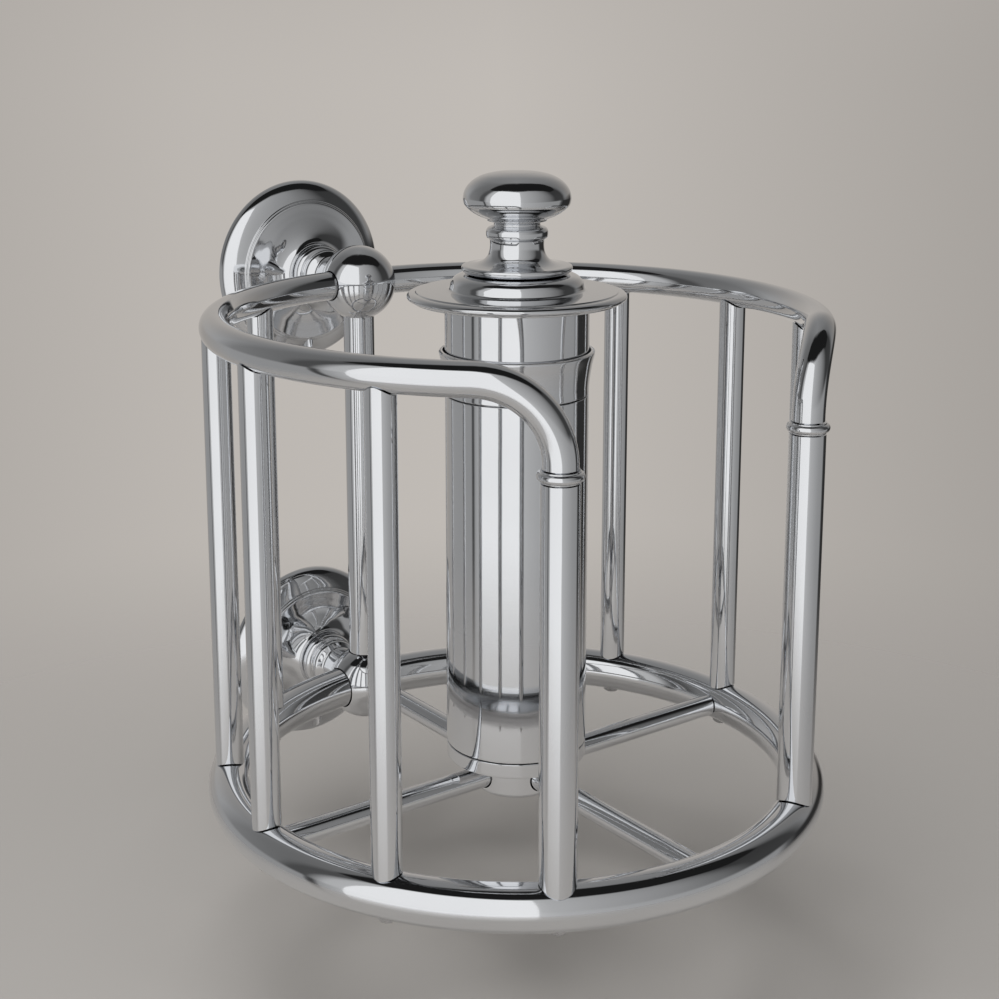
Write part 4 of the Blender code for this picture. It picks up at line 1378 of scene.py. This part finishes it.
def ball(which, level, held_radius):
    centre = (0, CAGE_Y + CAGE_RADIUS, level)
    turns = [math.pi * step / BALL_STEPS for step in range(BALL_STEPS + 1)]
    arc = [(BALL_RADIUS * math.sin(turn), -BALL_RADIUS * math.cos(turn)) for turn in turns]
    arc[0], arc[-1] = (0, arc[0][1]), (0, arc[-1][1])
    bar = round_bar("bar_space", held_radius + GAP, (0, 0, 0), BAR_TWIST)
    bar.transform(Matrix.Translation((0, CAGE_Y, level)) @ Matrix.Rotation(OFF_GRID, 4, "Z"))
    web = held_radius + GAP + BALL_WEB
    ends = (-BALL_RADIUS - PAST, -web) if which == "upper" else (web, BALL_RADIUS + PAST)
    post = plain_rod("post_space", POST_RADIUS + GAP, *ends, centre, SLIM_FACETS)
    bore = FRONT_STUD_RADIUS + GAP
    stud = lathe("stud_space", [(0, 0), (bore, 0), (bore, STUD_BORE), (0, STUD_BORE)],
                 BORE_FACETS, 0.0)
    stud.transform(Matrix.Translation(centre) @ Matrix.Rotation(-QUARTER, 4, "X"))
    tools = [bar, post, stud] + ([back_hole] if which == "lower" else [])
    return cut(lathe(which + "_ball", arc, 2 * BALL_STEPS, 0.0, centre), *tools)


for which, (level, held) in MOUNTS.items():
    add_piece(ball(which, level, held), chrome[which], [which + "_ball"])

# %% [markdown]
# ### Back post
#
# A plain post stands between the two balls and ends at their webs. One headless screw comes up
# through the ring and the lower ball into it, and holds all three together.

# %% Back post and its headless screw
SCREW_STANDS_OUT = 0.0010
post_top = -(RAIL_RADIUS + GAP + BALL_WEB + GAP)
post_low = RING_LEVEL + RING_RADIUS + GAP + BALL_WEB + GAP
post_items = [(0, post_low), (POST_RADIUS, post_low), (POST_RADIUS, post_top), (0, post_top)]
add_piece(lathe("back_post", post_items, SLIM_FACETS, EDGE_ROUND, BACK), chrome["upright"],
          ["back_post"])
back_screw = headless_screw("back_post_screw", SCREW_RADIUS,
                            RING_LEVEL - RING_RADIUS - SCREW_STANDS_OUT, SCREW_TIP, BACK)
add_piece(back_screw, steel["upright"], ["back_post_screw"])

# %% [markdown]
# ## The arbor
#
# The arbor is a plain thin tube in the middle of the cage. A foot closes its lower end and sits
# on the hub, and a cuff in the upper end flares out and guides the cap back in. All three are
# closed shells of real thickness, because the camera can look into the gap between cap and cuff.

# %% Levels and radii of the arbor
CAP_LEVEL = 0.0049
SKIRT_HEIGHT = 0.0161
FLARE_HEIGHT = 0.0085
SHOULDER_LEVEL = CAP_LEVEL - SKIRT_HEIGHT - GAP
CUFF_LEVEL = SHOULDER_LEVEL - FLARE_HEIGHT
TUBE_RADIUS = 0.0195
TUBE_WALL = 0.0012
TUBE_BORE = TUBE_RADIUS - TUBE_WALL
PLUG_RADIUS = TUBE_BORE - GAP
CUFF_BORE = PLUG_RADIUS - TUBE_WALL
FOOT_HEIGHT = 0.0040
FOOT_TOP = FOOT_LEVEL + FOOT_HEIGHT
print("tube from", mm(FOOT_TOP), "to", mm(CUFF_LEVEL), "mm")

# %% Foot and tube
def add_turned(name, items, body="cage", edge=EDGE_ROUND):
    """Adds a chrome piece that is turned about the cage's axis."""
    mesh = lathe(name, items, WIDE_FACETS, edge, AXIS)
    add_piece(mesh, chrome["arbor"], [name], body)


PLUG_LENGTH = 0.0080
bore_top = FOOT_LEVEL + HUB_SCREW_GRIP + GAP
plug_top = FOOT_TOP + PLUG_LENGTH
tube_ends = (CUFF_LEVEL - GAP, FOOT_TOP + GAP)
foot_items = [(0, bore_top), (hub_bore, bore_top), (hub_bore, FOOT_LEVEL),
              (TUBE_RADIUS, FOOT_LEVEL), (TUBE_RADIUS, FOOT_TOP), (PLUG_RADIUS, FOOT_TOP),
              (PLUG_RADIUS, plug_top), (0, plug_top)]
tube_items = [(TUBE_RADIUS, tube_ends[0]), (TUBE_RADIUS, tube_ends[1]), (TUBE_BORE, tube_ends[1]),
              (TUBE_BORE, tube_ends[0])]
add_turned("arbor_foot", foot_items)
add_turned("arbor_tube", tube_items)

# %% Cuff
CUFF_RADIUS = 0.0211
CUFF_LIP_WALL = 0.0011
CUFF_LIP = 0.0033
CUFF_SPIGOT = 0.0100
FLARE = [(1.00, 0.965), (0.97, 0.930), (0.86, 0.860), (0.52, 0.660), (0.20, 0.400),
         (0.04, 0.200), (0.00, 0.100)]
rim = SHOULDER_LEVEL + CUFF_LIP
cuff_low = CUFF_LEVEL - CUFF_SPIGOT
flare = [(TUBE_RADIUS + (CUFF_RADIUS - TUBE_RADIUS) * out, CUFF_LEVEL + (rim - CUFF_LEVEL) * up)
         for out, up in FLARE]
cuff_items = [(CUFF_RADIUS - CUFF_LIP_WALL / 2, rim), flare, (TUBE_RADIUS, CUFF_LEVEL),
              (PLUG_RADIUS, CUFF_LEVEL), (PLUG_RADIUS, cuff_low), (CUFF_BORE, cuff_low),
              (CUFF_BORE, SHOULDER_LEVEL), (TUBE_RADIUS + GAP, SHOULDER_LEVEL),
              (CUFF_RADIUS - CUFF_LIP_WALL, rim)]
add_turned("arbor_cuff", cuff_items)

# %% [markdown]
# ## The cap
#
# The cap is what the hand takes: a bun-shaped knob on a beaded stem, a disc wider than the
# arbor, and a skirt that slides in the cuff. One long screw from below ties them to the guide. The
# whole outline is drawn in shares of a radius and a height, read from the photograph, with a
# corner wherever the picture shows a crisp line.

# %% Sizes where the cap's pieces meet
SKIRT_RADIUS = 0.0195
SKIRT_WALL = 0.0012
DISC_HEIGHT = 0.0075
DISC_RECESS = 0.0010
WEB_THICKNESS = 0.0015
KNOB_SPIGOT_RADIUS = 0.0050
KNOB_SPIGOT_DEPTH = 0.0030
TIE_RADIUS = 0.0019
TIE_GRIP = 0.0090
clear = TIE_RADIUS + GAP
web_top = CAP_LEVEL + DISC_RECESS - GAP
web_low = web_top - WEB_THICKNESS
disc_top = CAP_LEVEL + DISC_HEIGHT
knob_base = disc_top + GAP
spigot_low = knob_base - KNOB_SPIGOT_DEPTH
tie_top = spigot_low + TIE_GRIP
print("knob from", mm(knob_base), "mm, tie screw up to", mm(tie_top), "mm")

# %% [markdown]
# ### Skirt and disc
#
# The skirt is a thin cup, upside down, that slides in the cuff. The disc lies on it and covers
# the arbor's mouth, with a recess below for the skirt's top. A flat washer would be close, but in
# the picture the disc's face falls from the knob in a curved step and then runs almost level to a
# round rim. So the face and the rim are runs, with close points where the step bends.

# %% Skirt
SKIRT_BORE = SKIRT_RADIUS - SKIRT_WALL
SKIRT_LOW = CAP_LEVEL - SKIRT_HEIGHT
skirt_items = [(clear, web_top), (SKIRT_RADIUS, web_top), (SKIRT_RADIUS, SKIRT_LOW),
               (SKIRT_BORE, SKIRT_LOW), (SKIRT_BORE, web_low), (clear, web_low)]
add_turned("cap_skirt", skirt_items, "cap")

# %% Disc
DISC_RADIUS = 0.0295
DISC_EDGE = [(0.455, 1.0)]
DISC_FACE = [(0.490, 0.985), (0.530, 0.945), (0.572, 0.850), (0.600, 0.700), (0.610, 0.560),
             (0.618, 0.470), (0.640, 0.430), (0.760, 0.412), (0.918, 0.388)]
DISC_RIM = [(0.924, 0.350), (0.956, 0.338), (0.982, 0.300), (0.997, 0.238), (1.000, 0.190),
            (0.995, 0.130), (0.976, 0.080)]
DISC_UNDER = [(0.952, 0.070), (0.946, 0.000)]
edge, face, disc_rim, under = [shares(run, DISC_RADIUS, DISC_HEIGHT, CAP_LEVEL)
                               for run in (DISC_EDGE, DISC_FACE, DISC_RIM, DISC_UNDER)]
recess = CAP_LEVEL + DISC_RECESS
socket = KNOB_SPIGOT_RADIUS + GAP
disc_items = [(socket, disc_top), *edge, face, disc_rim, *under, (SKIRT_RADIUS + GAP, CAP_LEVEL),
              (SKIRT_RADIUS + GAP, recess), (clear, recess), (clear, spigot_low - GAP),
              (socket, spigot_low - GAP)]
add_turned("cap_disc", disc_items, "cap")

# %% [markdown]
# ### Knob
#
# The knob is one turned piece, and the one that the eye goes to first. Its bun is fullest a
# little below its middle and tucks in to a thin lip. Under that come a tight neck, a collar and
# the stem, which flares to its base. One smooth curve through all of it would melt them together,
# so each is a run of its own, and the lines between them stay crisp.

# %% Knob
KNOB_RADIUS = 0.0144
KNOB_HEIGHT = 0.0269
KNOB_ROUND = 0.00014
BUN = [(0.000, 1.000), (0.200, 0.997), (0.400, 0.988), (0.620, 0.962), (0.770, 0.925),
       (0.868, 0.885), (0.935, 0.843), (0.978, 0.798), (0.998, 0.750), (1.000, 0.722),
       (0.983, 0.678), (0.942, 0.645), (0.885, 0.617), (0.815, 0.590), (0.720, 0.562),
       (0.610, 0.538)]
LIP = [(0.560, 0.524), (0.555, 0.512)]
NECK = [(0.490, 0.506), (0.445, 0.495), (0.432, 0.480), (0.437, 0.467)]
COLLAR = [(0.470, 0.460), (0.535, 0.445), (0.570, 0.420), (0.577, 0.390), (0.572, 0.360),
          (0.560, 0.345)]
STEM = [(0.520, 0.338), (0.508, 0.320), (0.503, 0.270), (0.515, 0.215), (0.550, 0.165),
        (0.620, 0.123), (0.730, 0.095), (0.860, 0.080), (0.985, 0.073)]
BASE = [(1.020, 0.066), (1.032, 0.048), (1.024, 0.022), (0.980, 0.000)]
knob_items = [shares(run, KNOB_RADIUS, KNOB_HEIGHT, knob_base)
              for run in (BUN, LIP, NECK, COLLAR, STEM, BASE)]
knob_items += [(KNOB_SPIGOT_RADIUS, knob_base), (KNOB_SPIGOT_RADIUS, spigot_low),
               (clear, spigot_low), (clear, tie_top + GAP), (0, tie_top + GAP)]
add_turned("cap_knob", knob_items, "cap", KNOB_ROUND)

# %% [markdown]
# ### Guide, seal and tie screw
#
# These sit inside the arbor and show only when the cap is lifted out. The guide is a column with
# a thick flange, which slides in the cuff's bore. A groove in the flange holds the seal, a rubber
# ring that keeps the cap from rattling. The seal could be a torus, but as a turned circle it
# shares the lathe's helper. The tie screw goes up through the guide into the knob.

# %% Guide
GUIDE_COLUMN_RADIUS = 0.0060
GUIDE_FLANGE = 0.0080
GUIDE_DROP = 0.0168
GUIDE_PLAY = 0.0004
SEAL_RADIUS = 0.00095
SEAL_SHARE = 0.55
TIE_HEAD_RADIUS = 0.0036
TIE_SEAT_DEPTH = 0.0016
guide_radius = CUFF_BORE - GUIDE_PLAY
guide_low = SHOULDER_LEVEL - GUIDE_DROP
flange_top = guide_low + GUIDE_FLANGE
seal_level = guide_low + GUIDE_FLANGE * SEAL_SHARE
groove_top, groove_low = seal_level + (SEAL_RADIUS + GAP), seal_level - (SEAL_RADIUS + GAP)
groove_floor = guide_radius - 2 * SEAL_RADIUS - GAP
tie_seat = guide_low + TIE_SEAT_DEPTH
tie_sink = TIE_HEAD_RADIUS + GAP
guide_items = [(clear, web_low - GAP), (GUIDE_COLUMN_RADIUS, web_low - GAP),
               (GUIDE_COLUMN_RADIUS, flange_top), (guide_radius, flange_top),
               (guide_radius, groove_top), (groove_floor, groove_top), (groove_floor, groove_low),
               (guide_radius, groove_low), (guide_radius, guide_low), (tie_sink, guide_low),
               (tie_sink, tie_seat), (clear, tie_seat)]
add_piece(lathe("cap_guide", guide_items, WIDE_FACETS, EDGE_ROUND, AXIS), steel["arbor"],
          ["cap_guide"], "cap")

# %% Seal and tie screw
SEAL_SIDES = 28
TIE_HEAD_HEIGHT = 0.0024
seal_centre = guide_radius - SEAL_RADIUS
seal_turns = [2 * math.pi * side / SEAL_SIDES for side in range(SEAL_SIDES)]
seal_section = [(seal_centre + SEAL_RADIUS * math.cos(turn), SEAL_RADIUS * math.sin(turn))
                for turn in seal_turns]
seal_mesh = lathe("cap_seal", seal_section, WIDE_FACETS, 0.0, (0, CAGE_Y, seal_level))
add_piece(seal_mesh, rubber, ["cap_seal"], "seal")
tie_screw = socket_screw("cap_tie_screw", TIE_RADIUS, tie_top, TIE_HEAD_RADIUS,
                         TIE_HEAD_HEIGHT, tie_seat - GAP, AXIS)
add_piece(tie_screw, steel["arbor"], ["cap_tie_screw"], "cap")

# %% [markdown]
# ## Measure the whole
#
# The box of the dressed holder is measured against the box of the frame. The dressed
# holder may not be bigger or smaller than the frame.

# %% Compare the two boxes
fine_box = [list(corner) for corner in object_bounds()]
growth = [max(abs(fine_box[end][axis] - cad_box[end][axis]) for end in (0, 1))
          for axis in range(3)]
print("box differs by mm:", [mm(value) for value in growth])
